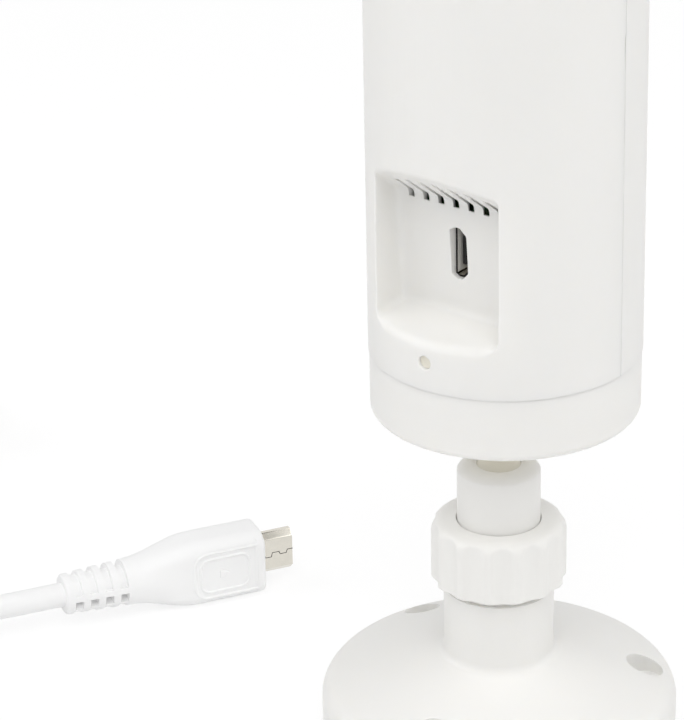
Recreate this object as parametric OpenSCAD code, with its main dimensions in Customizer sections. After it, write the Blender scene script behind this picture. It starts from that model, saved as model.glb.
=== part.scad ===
// Small cylindrical network camera on a screw-down ball stand, with its power lead.
// Origin at the centre of the stand's foot, +Z up, lens towards -Y, power port towards +Y.

/* [Camera body] */
// Radius of the two shells
body_r = 19; // [18:0.5:23]
// Thickness of the shells and the end caps
wall = 1.6; // [1.2:0.1:2]
// Height of the shells between the end caps
shell_h = 66; // [62:1:90]
// Height of each end cap
cap_h = 9.3; // [8:0.1:14]
// How far the caps stand inside the shells' surface
cap_step = 0.15; // [0.05:0.05:0.4]
// Radius of the caps' outer edge
cap_edge_r = 1.2; // [0.6:0.1:1.6]
// Height of the rim of each cap inside the shells
spigot_h = 2.2; // [1.6:0.1:3]
// Thickness of that rim
spigot_t = 1.4; // [1:0.1:1.8]
// How far the body's axis lies in front of the stand's axis
body_offset = 1.6; // [0:0.1:2.5]
// How far the plane between the shells lies in front of the body's axis
parting_offset = 0.1; // [0:0.1:2]

/* [Port recess] */
// Width of the recess in the back
recess_w = 20; // [18:0.5:22]
// Distance of the recess floor from the body's axis, at the port
recess_floor = 10.6; // [9.5:0.1:12]
// Lean of the recess floor towards the back at its top
recess_tilt = 4; // [0:0.5:6]
// Radius of the corners between the floor and the side walls
recess_r = 1.5; // [1:0.1:3]
// Height of the port above the shells' lower edge
port_h = 17.2; // [17:0.1:22]
// Depth of the recess below the port, at its outer edge
recess_below = 10; // [9.5:0.1:10.4]
// Rise of the recess's ledge from its outer edge to the floor
ledge_rise = 0.9; // [0.5:0.1:2]
// Height of the recess above the port, as deep as the floor there
recess_above = 7.2; // [7:0.1:9]
// Slope of the recess ceiling
ceiling_angle = 37; // [25:1:45]
// Number of vent slots in the ceiling
vent_count = 7; // [3:1:7]
// Spacing of the vent slots
vent_pitch = 2.46; // [2:0.01:2.6]
// Width of a vent slot
vent_w = 1; // [0.6:0.05:1.3]
// Depth of the groove that runs on from each slot towards the edge
vent_groove = 0.5; // [0.3:0.05:0.8]
// Radius of the reset pinhole
reset_r = 1; // [0.6:0.05:1.2]
// Height of the reset pinhole above the shells' lower edge
reset_h = 4.1; // [3.8:0.1:4.4]

/* [Power port] */
// Length of the port's opening
port_w = 7; // [6.8:0.05:7.2]
// Width of the port's opening
port_t = 1.9; // [1.8:0.05:2.1]
// Thickness of the port's metal shell
port_wall = 0.25; // [0.2:0.05:0.4]
// Length of the chamfers on the port's narrow side
port_chamfer = 0.9; // [0.6:0.05:1.1]
// How far the port's mouth lies below the recess floor
port_sink = 0.9; // [0.5:0.1:1.3]
// Room at the port's long sides in the recess floor
port_room = 0.25; // [0.2:0.05:0.5]

/* [Front] */
// Width of the dark front window
window_w = 26; // [24:0.5:30]
// Height of the dark front window
window_h = 36; // [30:0.5:40]
// Radius of the window's corners
window_r = 6; // [3:0.5:9]
// Thickness of the window
window_t = 1; // [0.7:0.05:1.1]
// Width of the ledge that the window is glued to
window_ledge = 1.2; // [0.8:0.1:2]
// Height of the lens above the shells' lower edge
lens_h = 44; // [40:0.5:46]
// Height of the window's centre below the lens
window_drop = 2; // [0:0.5:3]
// Radius of the lens barrel's thread
barrel_r = 6; // [5.5:0.1:6.5]
// Width of the ring round the lens
bezel_w = 1.3; // [1:0.1:2]
// Number of infrared diodes round the lens
led_count = 6; // [4:1:8]

/* [Stand] */
// Radius of the foot
base_r = 25.5; // [24:0.5:34]
// Height of the foot's dome at its centre
base_apex = 13.1; // [12:0.1:16]
// Radius of the dome's curve
dome_r = 59; // [50:1:90]
// Radius of the foot's upper edge
base_edge_r = 3; // [2:0.1:4.5]
// Thickness of the foot's shell
base_wall = 2; // [1.4:0.1:2.4]
// Radius of the stem
stem_r = 7.85; // [7.4:0.05:9]
// Radius of the fillet between stem and dome
stem_fillet = 1.2; // [0.5:0.1:2]
// Height of the stem from the dome's apex to the clamp nut
stem_h = 11.3; // [9:0.1:16]
// Height of the clamp nut
nut_h = 9.2; // [8:0.1:12]
// Radius of the clamp nut over its ridges
nut_r = 9.6; // [9.4:0.1:12]
// Radius of the nut's shoulder
nut_shoulder = 1.8; // [1:0.1:2.2]
// Number of flutes round the clamp nut
flute_count = 14; // [10:1:16]
// Depth of a flute
flute_depth = 0.6; // [0.3:0.05:0.8]
// Radius of the post
post_r = 5.9; // [5.6:0.05:6.1]
// Length of the post above the clamp nut
post_show = 8.65; // [8:0.05:14]
// Radius of the post's rounded top
post_edge_r = 2.2; // [1.6:0.05:2.3]
// Radius of the socket's mouth in the post
mouth_r = 3.65; // [3.5:0.05:3.8]
// Radius of the socket in the post
socket_r = 4.4; // [4.3:0.05:4.6]
// Thickness of the socket's liner
liner_t = 0.45; // [0.3:0.05:0.5]
// Radius of the stud's neck
neck_r = 2; // [1.6:0.05:2.05]
// Radius of the stud's thread
stud_r = 3.17; // [2.9:0.01:3.3]
// Room between the post and the underside of the body
body_gap = 8.25; // [8:0.05:12]
// Number of screw holes in the foot
mount_count = 3; // [3:1:4]
// Distance of the screw holes from the foot's side
mount_inset = 4.5; // [4.3:0.1:5.5]
// Radius of a screw hole
mount_hole_r = 1.8; // [1.5:0.05:2]
// Radius of the counterbore for a screw head
mount_head_r = 2.65; // [2.3:0.05:2.8]
// Turn of the first screw hole from +X
mount_turn = 98; // [90:1:110]
// Thickness of the rubber foot pad
pad_t = 1.2; // [0.8:0.1:1.6]

/* [Power lead] */
// Diameter of the lead
cord_d = 3.8; // [3.4:0.1:3.9]
// Width of the camera plug's grip
grip_w = 10.8; // [10:0.1:11.6]
// Thickness of the camera plug's grip
grip_t = 7.8; // [7:0.1:8.6]
// Length of the grip's straight part
grip_l = 11.5; // [10:0.5:14]
// Length of the grip's tapered part
taper_l = 9.5; // [8:0.5:12]
// Length of the ribbed sleeve behind the grip
sleeve_l = 11; // [9:0.5:14]
// Number of ribs on the sleeve
rib_count = 5; // [3:1:6]
// Length of the metal tip
tip_l = 5.6; // [5:0.1:6]
// Mean radius of the coiled length
coil_r = 21; // [20:0.5:23]
// Turns of the coil in each of its two layers
coil_turns = 3.5; // [2.5:1:3.5]
// Gap between neighbouring turns
coil_gap = 0.7; // [0.6:0.05:0.9]

/* [Fits] */
// Gap between pieces that are glued, clipped or screwed together
fit_gap = 0.05; // [0.03:0.01:0.08]
// Radial gap between pieces that turn or slide on each other
run_gap = 0.06; // [0.03:0.01:0.09]
// Gap between pieces that move past each other
free_gap = 0.3; // [0.2:0.05:0.4]

/* [Hidden] */
$fn = 64;
over = 1; // how far a cut runs past a face

// Heights of the stand
rim_z = 0.4; // the shell of the foot ends above the pad's underside
plate_t = 2;
plate_z = pad_t + plate_t;
nut_z = base_apex + stem_h;
nut_top = nut_z + nut_h;
post_top = nut_top + post_show;
body_z = post_top + body_gap;
ball_z = post_top - sqrt(socket_r * socket_r - mouth_r * mouth_r);

// Heights of the body
seam_z = body_z + cap_h;
top_seam = seam_z + shell_h;
body_top = top_seam + cap_h;
body_y = -body_offset;
parting_y = body_y - parting_offset;
inner_r = body_r - wall;
cap_r = body_r - cap_step;
cap_floor = 2;

// Foot: edge circle tangent to the dome and the side
edge_x = base_r - base_edge_r;
dome_c = base_apex - dome_r;
edge_z = dome_c + sqrt(pow(dome_r - base_edge_r, 2) - edge_x * edge_x);
cavity_r = base_r - base_wall;
mount_ring_r = base_r - mount_inset;
function dome_at(r) = dome_c + sqrt(dome_r * dome_r - r * r);
seat_t = 1.5; // height of the boss that the post's foot turns against
seat_z = dome_at(stem_r) - base_wall - seat_t;
foot_t = 2; // thickness of the post's foot
foot_inset = 0.4; // how far that foot stays inside the stem's radius
foot_r = stem_r - foot_inset;
axial_play = 0.1;
post_foot_z = seat_z - axial_play - foot_t;
plate_boss_r = 9;
pad_room = 0.6; // room round the pad and round its holes
mount_boss_t = 1.9; // wall round a screw hole
mount_boss_r = mount_hole_r + mount_boss_t;
mount_head_depth = 2.6;
mount_head_z = dome_at(mount_ring_r) - mount_head_depth; // where a screw head seats
screw_ring_r = 14; // circle of the screws that hold the foot's plate
screw_turn = mount_turn + 180 / mount_count;

// Clamp
stem_gap = 1.3; // from the stem's shoulder to the nut
thread_step = 0.65; // how far the thread lies inside the stem's surface
thread_r = stem_r - thread_step;
nut_lip = 1.4;
ring_h = 2;
ring_z = nut_top - nut_lip - ring_h;
ring_inset = 0.1;
ring_taper = 0.4;
ring_base_r = thread_r - ring_inset;
ring_top_r = ring_base_r - ring_taper;
ring_split = 1;
nut_edge = 0.25; // chamfer at the nut's lower edge
flute_chord = 1.85; // half the width of a flute
flute_r = (flute_chord * flute_chord + flute_depth * flute_depth) / (2 * flute_depth);

// Ball joint
liner_r = socket_r - run_gap;
ball_r = liner_r - liner_t - run_gap;
post_arc = 60; // how far round the post's top is rounded, in degrees
liner_sunk = 0.15; // how far the liner ends below the post's top
liner_up = post_top - ball_z - liner_sunk; // reach of the liner above the ball's centre
liner_down = 2.6; // reach below it
collar_r = 6.2;
collar_t = 1.5;
insert_r = 4.6;
insert_h = 7;
insert_boss_r = 6.6;
insert_top = 1.5; // thickness of the boss above the insert
stud_end = 1; // room above the stud

// Screws: head radius, head height, shank radius
cap_screw = [2, 1.2, 1];
board_screw = [1.7, 1.2, 0.85];
base_screw = [2.1, 1.1, 1.2];
screw_end = 0.3; // room past a screw's end
base_screw_l = 5; // reach of the screws into the foot's shell
base_boss_t = 1.5;
cap_boss_r = 2.2;
cap_boss_room = 0.2;
cap_boss_ring = inner_r - fit_gap - spigot_t - cap_boss_r - cap_boss_room;
cap_boss_angles = [35, 145, 225, 315];
cap_boss_h = 5;
cap_hole_h = 4; // depth of the screw hole in a boss
cap_head_sunk = 0.3;
cap_screw_l = cap_h + cap_hole_h - cap_head_sunk - screw_end;
board_boss_r = 2.1;
board_screw_l = 5; // reach of the screws into their bosses
rib_w = 1.6;

// Recess
port_z = seam_z + port_h;
floor_y = body_y + recess_floor;
back_y = body_y + body_r;
ledge_out = port_z - recess_below;
ledge_in = ledge_out + ledge_rise;
ceil_in = port_z + recess_above;
function ledge_at(y) = ledge_in - ledge_rise * (y - floor_y) / (back_y - floor_y);
function ceil_at(y) = ceil_in + (y - floor_y) * tan(ceiling_angle);
function floor_at(z) = floor_y + (z - port_z) * tan(recess_tilt);
crease_y = floor_y + recess_above * tan(recess_tilt) / (1 - tan(recess_tilt) * tan(ceiling_angle));
crease_z = ceil_at(crease_y); // where the floor meets the ceiling
tub_w = recess_w + 2 * wall;
vent_drop = 0.8; // how far a slot runs down the recess floor
vent_margin = 2.2; // from a slot's groove to the body's skin
vent_out = body_y + sqrt(inner_r * inner_r - recess_w * recess_w / 4);
reset_z = seam_z + reset_h;

// Electronics
board_w = 22.8;
board_t = 1.2;
board_y = 0; // front face of the board
board_end_gap = 0.6; // from the board to the rims of the caps
board_z = seam_z + spigot_h + board_end_gap;
board_top = top_seam - spigot_h - board_end_gap;
board_screw_x = 8.6;
board_screw_inset = 3;
board_screw_z = [board_z + board_screw_inset, board_top - board_screw_inset];
back_face = board_y + board_t;
port_face = floor_y - port_sink;
port_back = back_face + 1.2; // inner end of the port's opening
port_out = 2 * port_wall; // what the metal shell adds to the opening
port_hole = port_out + 2 * port_room; // what the hole in the recess floor adds
port_hole_end = port_out + 2 * fit_gap; // the same at the port's short sides
port_hole_chamfer = port_chamfer + port_room;
port_tongue_w = 4.4;
port_tongue_t = 0.6;
port_tongue_x = 0.2;
port_tongue_in = 0.5; // from the port's mouth to its tongue
lens_z = seam_z + lens_h;
barrel_back = 5.4; // distances along the optical axis from the body's axis
barrel_front = 17.2;
holder_front = 9;
holder_w = 15;
holder_t = 4;
holder_wall = 1.5;
pocket_wall = 2; // of the pocket over the sensor
pocket_t = 2.2;
bezel_proud = 0.3;
bezel_r = barrel_r + 0.3 + bezel_w;
bezel_l = 4.5;
glass_r = 4.9;
glass_l = 2.8;
glass_sunk = 0.2;
glass_curve = 9; // radius of the front lens's face
barrel_bore = 3;
led_board_r = 12;
led_board_t = 1;
led_w = 2.6;
led_t = 1.2;
led_ring_r = 9.7;
sensor_w = 7;
sensor_t = 1;
chip_w = 10;
chip_t = 1.2;
chip_drop = 16; // from the board's upper edge
chip_z = board_top - chip_drop;
sink_w = 13;
sink_base = 1.4;
sink_h = 6;
fin_count = 5;
fin_w = 1;
switch_w = 6;
switch_t = 3.5;
plunger_r = 1.3;
plunger_in = 1.5; // how far the plunger reaches into its switch
plunger_room = 1.2; // from the plunger's shoulder to the shell
nib_sunk = 0.6; // from the body's skin to the plunger's nib in the pinhole
press_travel = 0.5;
light_r = 1.1;
light_h = 12; // height of the status light above the shells' lower edge
light_z = seam_z + light_h;
led_size = [1.6, 0.8, 1];
mic_r = 2.4;
mic_t = 2;
mic_x = 5.5;
mic_hole_r = 0.5;
antenna_size = [18, 6, 0.4];
antenna_y = 6.5;
antenna_cord_r = 0.6;
antenna_bend = 2.5;
antenna_drop = 3; // from the board's upper edge to the lead's end

// Plugs
sleeve_r = 3;
rib_r = 3.45;
grip_corner = 2.2;
flange_l = 1.4;
flange_proud = 0.25;
panel_l = 9.5;
panel_w = 7.6;
panel_r = 1.6;
panel_line = 0.7;
panel_proud = 0.3;
panel_inset = 0.6; // from the flange
slice = 0.1; // thickness of the slices between which the taper runs
tip_w = 6.85;
tip_t = 1.8;
tip_wall = 0.25;
tip_sunk = 2;
tip_back = 1; // thickness of a metal tip's closed end
plug_front = sleeve_l + taper_l + grip_l;
host_w = 15.5;
host_t = 7.6;
host_l = 19;
host_sleeve_l = 9;
host_tip = [12, 12, 4.5];
host_wall = 0.35;
host_sunk = 2;
host_tongue_top = -0.3;
host_front = host_sleeve_l + host_l;

// Lead: route chosen by hand, from the sleeve to the coil, on the surface that the stand rests on
cord_r = cord_d / 2;
tie_t = 0.5;
tie_room = 0.1;
cord_lift = cord_r + tie_t + tie_room;
plug_lift = grip_w / 2; // the plug lies on its narrow side
lead_route = [
    [71, 15, plug_lift], [72.5, 17.6, plug_lift], [74, 20.2, plug_lift], [76, 23.06, 5.3], [78.46, 25.52, 5],
    [81.32, 27.52, 4.6], [84.48, 28.99, 4.2], [87.85, 29.9, 3.8], [91.32, 30.2, 3.4], [97, 30.2, 3.1],
    [103, 30.2, 2.8], [109, 30.2, 2.6], [115, 30.2, cord_lift], [121, 30.2, cord_lift],
    [128, 30.2, cord_lift], [135, 30.2, cord_lift], [142.2, 30.2, cord_lift]
];
route_end = lead_route[len(lead_route) - 1];
function turn_of(v) = atan2(v[1], v[0]);
plug_turn = turn_of(lead_route[0] - lead_route[1]); // where the plug points
end_turn = turn_of(route_end - lead_route[len(lead_route) - 2]); // where the coil sets out
cord_path = [for (i = [0 : 2 : len(lead_route) - 1]) lead_route[i]];

// Coil: in on the lower layer, out on the upper one, then over the top to the second plug
coil_pitch = cord_d + coil_gap;
coil_out = coil_r + coil_pitch * coil_turns / 2;
coil_in = coil_r - coil_pitch * coil_turns / 2;
coil_start = end_turn + 90; // angle of the coil's first point
lead_in = route_end + cord_d * [cos(end_turn), sin(end_turn), 0]; // end of the coil's straight start
coil_c = [lead_in[0] - coil_out * cos(coil_start), lead_in[1] - coil_out * sin(coil_start)];
turn_back = 360 * coil_turns; // angle wound where the spiral reverses
turn_end = 2 * turn_back;
climb_angle = 90; // angle over which the end climbs onto the coil
tail_room = 0.2;
tail_rise = cord_r + host_t / 2 + tail_room; // so that the second plug lies on the coil
tail_bend_r = 13; // then it bends inwards, across the coil
tail_bend = 75;
tail_run = cord_d;
coil_rings = 24; // rings of the tube in each turn
coil_sides = 6;
cord_sides = 8;
function ease(t) = t <= 0 ? 0 : t >= 1 ? 1 : t * t * (3 - 2 * t);
function coil_radius(a) =
    a < turn_back ? coil_out - coil_pitch * a / 360
    : coil_in + coil_pitch * (min(a, turn_end) - turn_back) / 360;
function coil_height(a) =
    cord_lift + coil_pitch * ease((a - turn_back + 90) / 180)
    + tail_rise * ease((a - turn_end) / climb_angle);
function coil_point(a) = [
    coil_c[0] + coil_radius(a) * cos(coil_start - a),
    coil_c[1] + coil_radius(a) * sin(coil_start - a),
    coil_height(a)
];
climb_end = turn_end + climb_angle;
bend_turn = coil_start - climb_end; // angle of the bend's first point from the coil's axis
bend_c = coil_point(climb_end) - tail_bend_r * [cos(bend_turn), sin(bend_turn), 0];
function bend_point(a) = bend_c + tail_bend_r * [cos(bend_turn - a), sin(bend_turn - a), 0];
tail_turn = bend_turn - tail_bend - 90; // where the second plug points
tail_to = bend_point(tail_bend) + tail_run * [cos(tail_turn), sin(tail_turn), 0];
coil_step = 360 / coil_rings;
coil_path = concat(
    [route_end],
    [for (a = [0 : coil_step : climb_end - coil_step / 2]) coil_point(a)],
    [for (a = [0 : coil_step : tail_bend]) bend_point(a)],
    [tail_to]
);

// Least distance between points of the coil that are over a third of a turn apart
coil_clear = min([
    for (i = [0 : len(coil_path) - 1], j = [i + coil_rings / 3 : len(coil_path) - 1])
        norm(coil_path[i] - coil_path[j])
]) - cord_d;
echo(coil_gap_measured = coil_clear);

// Helpers

// Extrudes a drawing in X and Z along Y
module along_y(y0, y1) {
    translate([0, y1, 0]) rotate([90, 0, 0]) linear_extrude(y1 - y0) children();
}

// Extrudes a drawing in Y and Z along X, centred
module along_x(w) {
    translate([-w / 2, 0, 0]) rotate([90, 0, 90]) linear_extrude(w) children();
}

// Round bar along Y
module bar_y(x, z, r, y0, y1) {
    translate([x, y1, z]) rotate([90, 0, 0]) cylinder(r = r, h = y1 - y0);
}

module box(low, high) {
    translate(low) cube(high - low);
}

module tube(r_out, r_in, z0, z1) {
    translate([0, 0, z0]) difference() {
        cylinder(r = r_out, h = z1 - z0);
        translate([0, 0, -over]) cylinder(r = r_in, h = z1 - z0 + 2 * over);
    }
}

module round_rect(w, h, r) {
    square([w - 2 * r, h], center = true);
    square([w, h - 2 * r], center = true);
    for (x = [-1, 1], y = [-1, 1])
        translate([x * (w / 2 - r), y * (h / 2 - r)]) circle(r);
}

// Outline of the power port and its plug: long side upright, chamfered towards -X
module port_outline(w, t, c) {
    polygon([
        [t / 2, -w / 2], [t / 2, w / 2], [-t / 2 + c, w / 2], [-t / 2, w / 2 - c],
        [-t / 2, -w / 2 + c], [-t / 2 + c, -w / 2]
    ]);
}

// Copies round the stand's axis
module round_stand(count, r, turn) {
    for (i = [0 : count - 1])
        rotate(turn + i * 360 / count) translate([r, 0, 0]) children();
}

// Round bars along Y at the board's four screws
module board_bars(r, y0, y1) {
    for (x = [-board_screw_x, board_screw_x], z = board_screw_z) bar_y(x, z, r, y0, y1);
}

// Copies at the cap screws
module at_cap_screws(first, last) {
    for (i = [first : last])
        translate([
            cap_boss_ring * cos(cap_boss_angles[i]),
            body_y + cap_boss_ring * sin(cap_boss_angles[i]), 0
        ]) rotate(cap_boss_angles[i]) children();
}

// Half of the shells' tube on one side of the parting plane
module half_shell(side) {
    intersection() {
        translate([0, body_y, 0]) tube(body_r, inner_r, seam_z, top_seam);
        box([-body_r - over, side > 0 ? parting_y : parting_y - 2 * body_r, seam_z],
            [body_r + over, side > 0 ? parting_y + 3 * body_r : parting_y, top_seam]);
    }
}

// Boss for a cap screw with the rib that ties it to its shell
module cap_boss() {
    rib_z = seam_z + spigot_h + free_gap;
    rib_l = inner_r - cap_boss_ring + wall / 2;
    translate([0, 0, seam_z]) cylinder(r = cap_boss_r, h = cap_boss_h);
    box([0, -rib_w / 2, rib_z], [rib_l, rib_w / 2, seam_z + cap_boss_h]);
}

module cap_boss_hole() {
    translate([0, 0, seam_z - over]) cylinder(r = cap_screw[2] + fit_gap, h = cap_hole_h + over);
}

// Upright cup that closes an end of the shells, drawn with its closed end down at height 0
module cap_cup() {
    lip_r = inner_r - fit_gap;
    rotate_extrude() difference() {
        union() {
            translate([0, cap_edge_r]) square([cap_r, cap_h - cap_edge_r]);
            square([cap_r - cap_edge_r, cap_h]);
            translate([cap_r - cap_edge_r, cap_edge_r]) circle(cap_edge_r);
            square([lip_r, cap_h + spigot_h]);
        }
        translate([0, cap_floor]) square([lip_r - spigot_t, cap_h + spigot_h]);
        translate([-2 * cap_r, -over]) square([2 * cap_r, cap_h + spigot_h + 2 * over]);
    }
}

// Window's outline, in X and Z
module window_outline(grow) {
    translate([0, lens_z - window_drop])
        round_rect(window_w + 2 * grow, window_h + 2 * grow, window_r + grow);
}

// Skin of the body between two radii
module body_skin(r_out, r_in) {
    translate([0, body_y, 0]) tube(r_out, r_in, seam_z, top_seam);
}

// Tube along a list of points, closed at both ends; each ring's first side faces up or outwards
module sweep(points, r, sides) {
    n = len(points);
    function heading(i) =
        let (a = points[max(i - 1, 0)], b = points[min(i + 1, n - 1)]) (b - a) / norm(b - a);
    function aside(i) = let (d = heading(i), c = cross(d, [0, 0, 1])) c / norm(c);
    function above(i) = cross(aside(i), heading(i));
    verts = [
        for (i = [0 : n - 1], k = [0 : sides - 1])
            let (a = 360 * (k + 0.5) / sides) points[i] + r * (cos(a) * aside(i) + sin(a) * above(i))
    ];
    walls = [
        for (i = [0 : n - 2], k = [0 : sides - 1])
            let (k1 = (k + 1) % sides, a = i * sides)
                each [[a + k, a + k1, a + sides + k], [a + k1, a + sides + k1, a + sides + k]]
    ];
    last = (n - 1) * sides;
    ends = [
        for (k = [1 : sides - 2])
            each [[0, k + 1, k], [last, last + k, last + k + 1]]
    ];
    polyhedron(verts, concat(walls, ends));
}

// Stand

module base_cover() {
    color("whitesmoke") difference() {
        union() {
            rotate_extrude() base_profile();
            translate([0, 0, plate_z]) intersection() {
                union() {
                    round_stand(mount_count, mount_ring_r, mount_turn)
                        cylinder(r = mount_boss_r, h = base_apex);
                    round_stand(mount_count, screw_ring_r, screw_turn)
                        cylinder(r = base_screw[2] + base_boss_t, h = base_apex);
                }
                translate([0, 0, -plate_z]) rotate_extrude() intersection() {
                    dome_outline(base_wall / 2);
                    square([base_r - base_wall / 2, base_apex]);
                }
            }
        }
        round_stand(mount_count, mount_ring_r, mount_turn) {
            cylinder(r = mount_hole_r, h = base_apex);
            translate([0, 0, mount_head_z]) cylinder(r = mount_head_r, h = base_apex);
        }
        round_stand(mount_count, screw_ring_r, screw_turn)
            cylinder(r = base_screw[2] + fit_gap, h = plate_z + base_screw_l + screw_end);
    }
}

// Right half of the dome, lowered by a thickness
module dome_outline(lower) {
    intersection() {
        translate([0, dome_c]) circle(dome_r - lower, $fn = 256);
        square([base_r, base_apex]);
    }
}

// Half section of the foot's shell with its stem
module base_profile() {
    difference() {
        union() {
            intersection() {
                dome_outline(0);
                polygon([
                    [0, dome_c], [edge_x, edge_z], 1.5 * [edge_x, edge_z - dome_c] + [0, dome_c],
                    [0, 2 * base_apex]
                ]);
            }
            translate([edge_x, edge_z]) circle(base_edge_r);
            square([base_r, edge_z]);
            square([stem_r, nut_z - stem_gap]);
            square([thread_r, ring_z]);
            difference() {
                square([stem_r + stem_fillet, dome_at(stem_r + stem_fillet) + stem_fillet]);
                translate([stem_r + stem_fillet, dome_at(stem_r + stem_fillet) + stem_fillet])
                    circle(stem_fillet);
            }
        }
        translate([-base_r, -over]) square([2 * base_r, rim_z + over]);
        difference() {
            intersection() {
                dome_outline(base_wall);
                square([cavity_r, edge_z]);
            }
            translate([0, seat_z]) square([stem_r, base_apex]);
        }
        difference() {
            dome_outline(base_wall);
            translate([0, seat_z]) square([stem_r, base_apex]);
            translate([cavity_r - base_edge_r / 2, 0]) square([base_r, base_apex]);
        }
        square([post_r + run_gap, ring_z + over]);
        translate([-base_r, 0]) square([base_r, 2 * ring_z]);
    }
}

module base_plate() {
    color("gainsboro") difference() {
        union() {
            translate([0, 0, pad_t]) cylinder(r = cavity_r - fit_gap, h = plate_t);
            translate([0, 0, pad_t]) cylinder(r = plate_boss_r, h = post_foot_z - axial_play - pad_t);
        }
        round_stand(mount_count, mount_ring_r, mount_turn) cylinder(r = mount_hole_r, h = base_apex);
        round_stand(mount_count, screw_ring_r, screw_turn) {
            cylinder(r = base_screw[2] + fit_gap, h = base_apex);
            cylinder(r = base_screw[0] + fit_gap, h = pad_t + base_screw[1]);
        }
    }
}

module base_screws() {
    color("silver") round_stand(mount_count, screw_ring_r, screw_turn) {
        translate([0, 0, pad_t]) cylinder(r = base_screw[0], h = base_screw[1]);
        translate([0, 0, pad_t]) cylinder(r = base_screw[2], h = plate_t + base_screw_l);
    }
}

module foot_pad() {
    color("dimgray") difference() {
        tube(cavity_r - pad_room, plate_boss_r, 0, pad_t);
        round_stand(mount_count, mount_ring_r, mount_turn)
            translate([0, 0, -over]) cylinder(r = mount_hole_r + pad_room, h = pad_t + 2 * over);
    }
}

// Split ring that the nut squeezes onto the post
module clamp_ring() {
    color("gainsboro") difference() {
        translate([0, 0, ring_z]) cylinder(r1 = ring_base_r, r2 = ring_top_r, h = ring_h);
        translate([0, 0, ring_z - over]) cylinder(r = post_r + run_gap, h = ring_h + 2 * over);
        box([0, -ring_split / 2, ring_z - over], [thread_r, ring_split / 2, ring_z + ring_h + over]);
    }
}

module clamp_nut() {
    flute_from = nut_r - flute_depth + flute_r;
    shoulder = [nut_r - nut_shoulder, nut_h - nut_shoulder];
    color("white") difference() {
        translate([0, 0, nut_z]) rotate_extrude() difference() {
            union() {
                square([shoulder[0], nut_h]);
                translate(shoulder) circle(nut_shoulder);
                polygon([
                    [0, 0], [nut_r - nut_edge, 0], [nut_r, nut_edge], [nut_r, shoulder[1]],
                    [0, shoulder[1]]
                ]);
            }
            translate([-over, -over]) square([post_r + free_gap + over, nut_h + 2 * over]);
        }
        for (i = [0 : flute_count - 1])
            rotate(i * 360 / flute_count) translate([flute_from, 0, nut_z - over])
                cylinder(r = flute_r, h = nut_h + 2 * over);
        translate([0, 0, nut_z - over]) cylinder(r = thread_r + run_gap, h = ring_z - nut_z + over);
        translate([0, 0, ring_z])
            cylinder(r1 = ring_base_r + run_gap, r2 = ring_top_r + run_gap, h = ring_h);
    }
}

module post() {
    edge_in = post_r - post_edge_r * sin(post_arc);
    edge_h = post_edge_r * (1 - cos(post_arc));
    color("white") difference() {
        rotate_extrude() {
            square([edge_in, post_top]);
            square([post_r, post_top - edge_h]);
            intersection() {
                translate([edge_in, post_top - post_edge_r]) circle(post_edge_r);
                square([post_r, post_top]);
            }
            translate([0, post_foot_z]) square([foot_r, foot_t]);
        }
        translate([0, 0, -over]) cylinder(r = base_r, h = post_foot_z + over);
        translate([0, 0, ball_z]) sphere(socket_r);
    }
}

// Slice of a ball's shell, free to swing in the socket
module socket_liner() {
    color("linen") intersection() {
        difference() {
            translate([0, 0, ball_z]) sphere(liner_r);
            translate([0, 0, ball_z]) sphere(liner_r - liner_t);
        }
        translate([0, 0, ball_z - liner_down]) cylinder(r = socket_r, h = liner_down + liner_up);
    }
}

// Camera

module ball_stud() {
    color("linen") {
        translate([0, 0, ball_z]) sphere(ball_r);
        translate([0, 0, ball_z]) cylinder(r = neck_r, h = body_z - ball_z);
        translate([0, 0, body_z - collar_t]) cylinder(r = collar_r, h = collar_t);
        translate([0, 0, body_z - collar_t]) cylinder(r = stud_r, h = collar_t + insert_h - stud_end);
    }
}

module thread_insert() {
    color("goldenrod") tube(insert_r, stud_r + fit_gap, body_z, body_z + insert_h);
}

module bottom_cap() {
    color("whitesmoke") difference() {
        union() {
            translate([0, body_y, body_z]) cap_cup();
            translate([0, 0, body_z]) cylinder(r = insert_boss_r, h = insert_h + insert_top);
            at_cap_screws(0, 3) translate([0, 0, body_z]) cylinder(r = cap_boss_r, h = cap_h);
        }
        translate([0, 0, body_z - over]) cylinder(r = insert_r + fit_gap, h = insert_h + over);
        at_cap_screws(0, 3) translate([0, 0, body_z - over]) {
            cylinder(r = cap_screw[2] + fit_gap, h = cap_h + 2 * over);
            cylinder(r = cap_screw[0] + fit_gap, h = cap_head_sunk + cap_screw[1] + over);
        }
    }
}

module cap_screws() {
    color("silver") at_cap_screws(0, 3) translate([0, 0, body_z + cap_head_sunk]) {
        cylinder(r = cap_screw[0], h = cap_screw[1]);
        cylinder(r = cap_screw[2], h = cap_screw_l);
    }
}

module rear_shell() {
    boss_end = body_y + sqrt(pow(inner_r, 2) - pow(board_screw_x, 2)) + wall / 4;
    color("whitesmoke") difference() {
        union() {
            half_shell(1);
            intersection() {
                along_x(tub_w) polygon([
                    [floor_at(ledge_in) - wall, ledge_at(floor_y - wall) - wall],
                    [back_y, ledge_out - wall], [back_y, ceil_at(back_y) + wall],
                    [crease_y - wall, crease_z + wall]
                ]);
                translate([0, body_y, seam_z]) cylinder(r = body_r - wall / 2, h = shell_h);
            }
            at_cap_screws(0, 1) cap_boss();
            board_bars(board_boss_r, back_face, boss_end);
        }
        recess_cut();
        vent_cuts();
        along_y(floor_y - 2 * wall, floor_y + wall) translate([0, port_z])
            port_outline(port_w + port_hole_end, port_t + port_hole, port_hole_chamfer);
        bar_y(0, reset_z, reset_r, back_y - 2 * wall, back_y + over);
        at_cap_screws(0, 1) cap_boss_hole();
        board_bars(board_screw[2] + fit_gap, back_face - over, back_face + board_screw_l + screw_end);
    }
}

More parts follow.
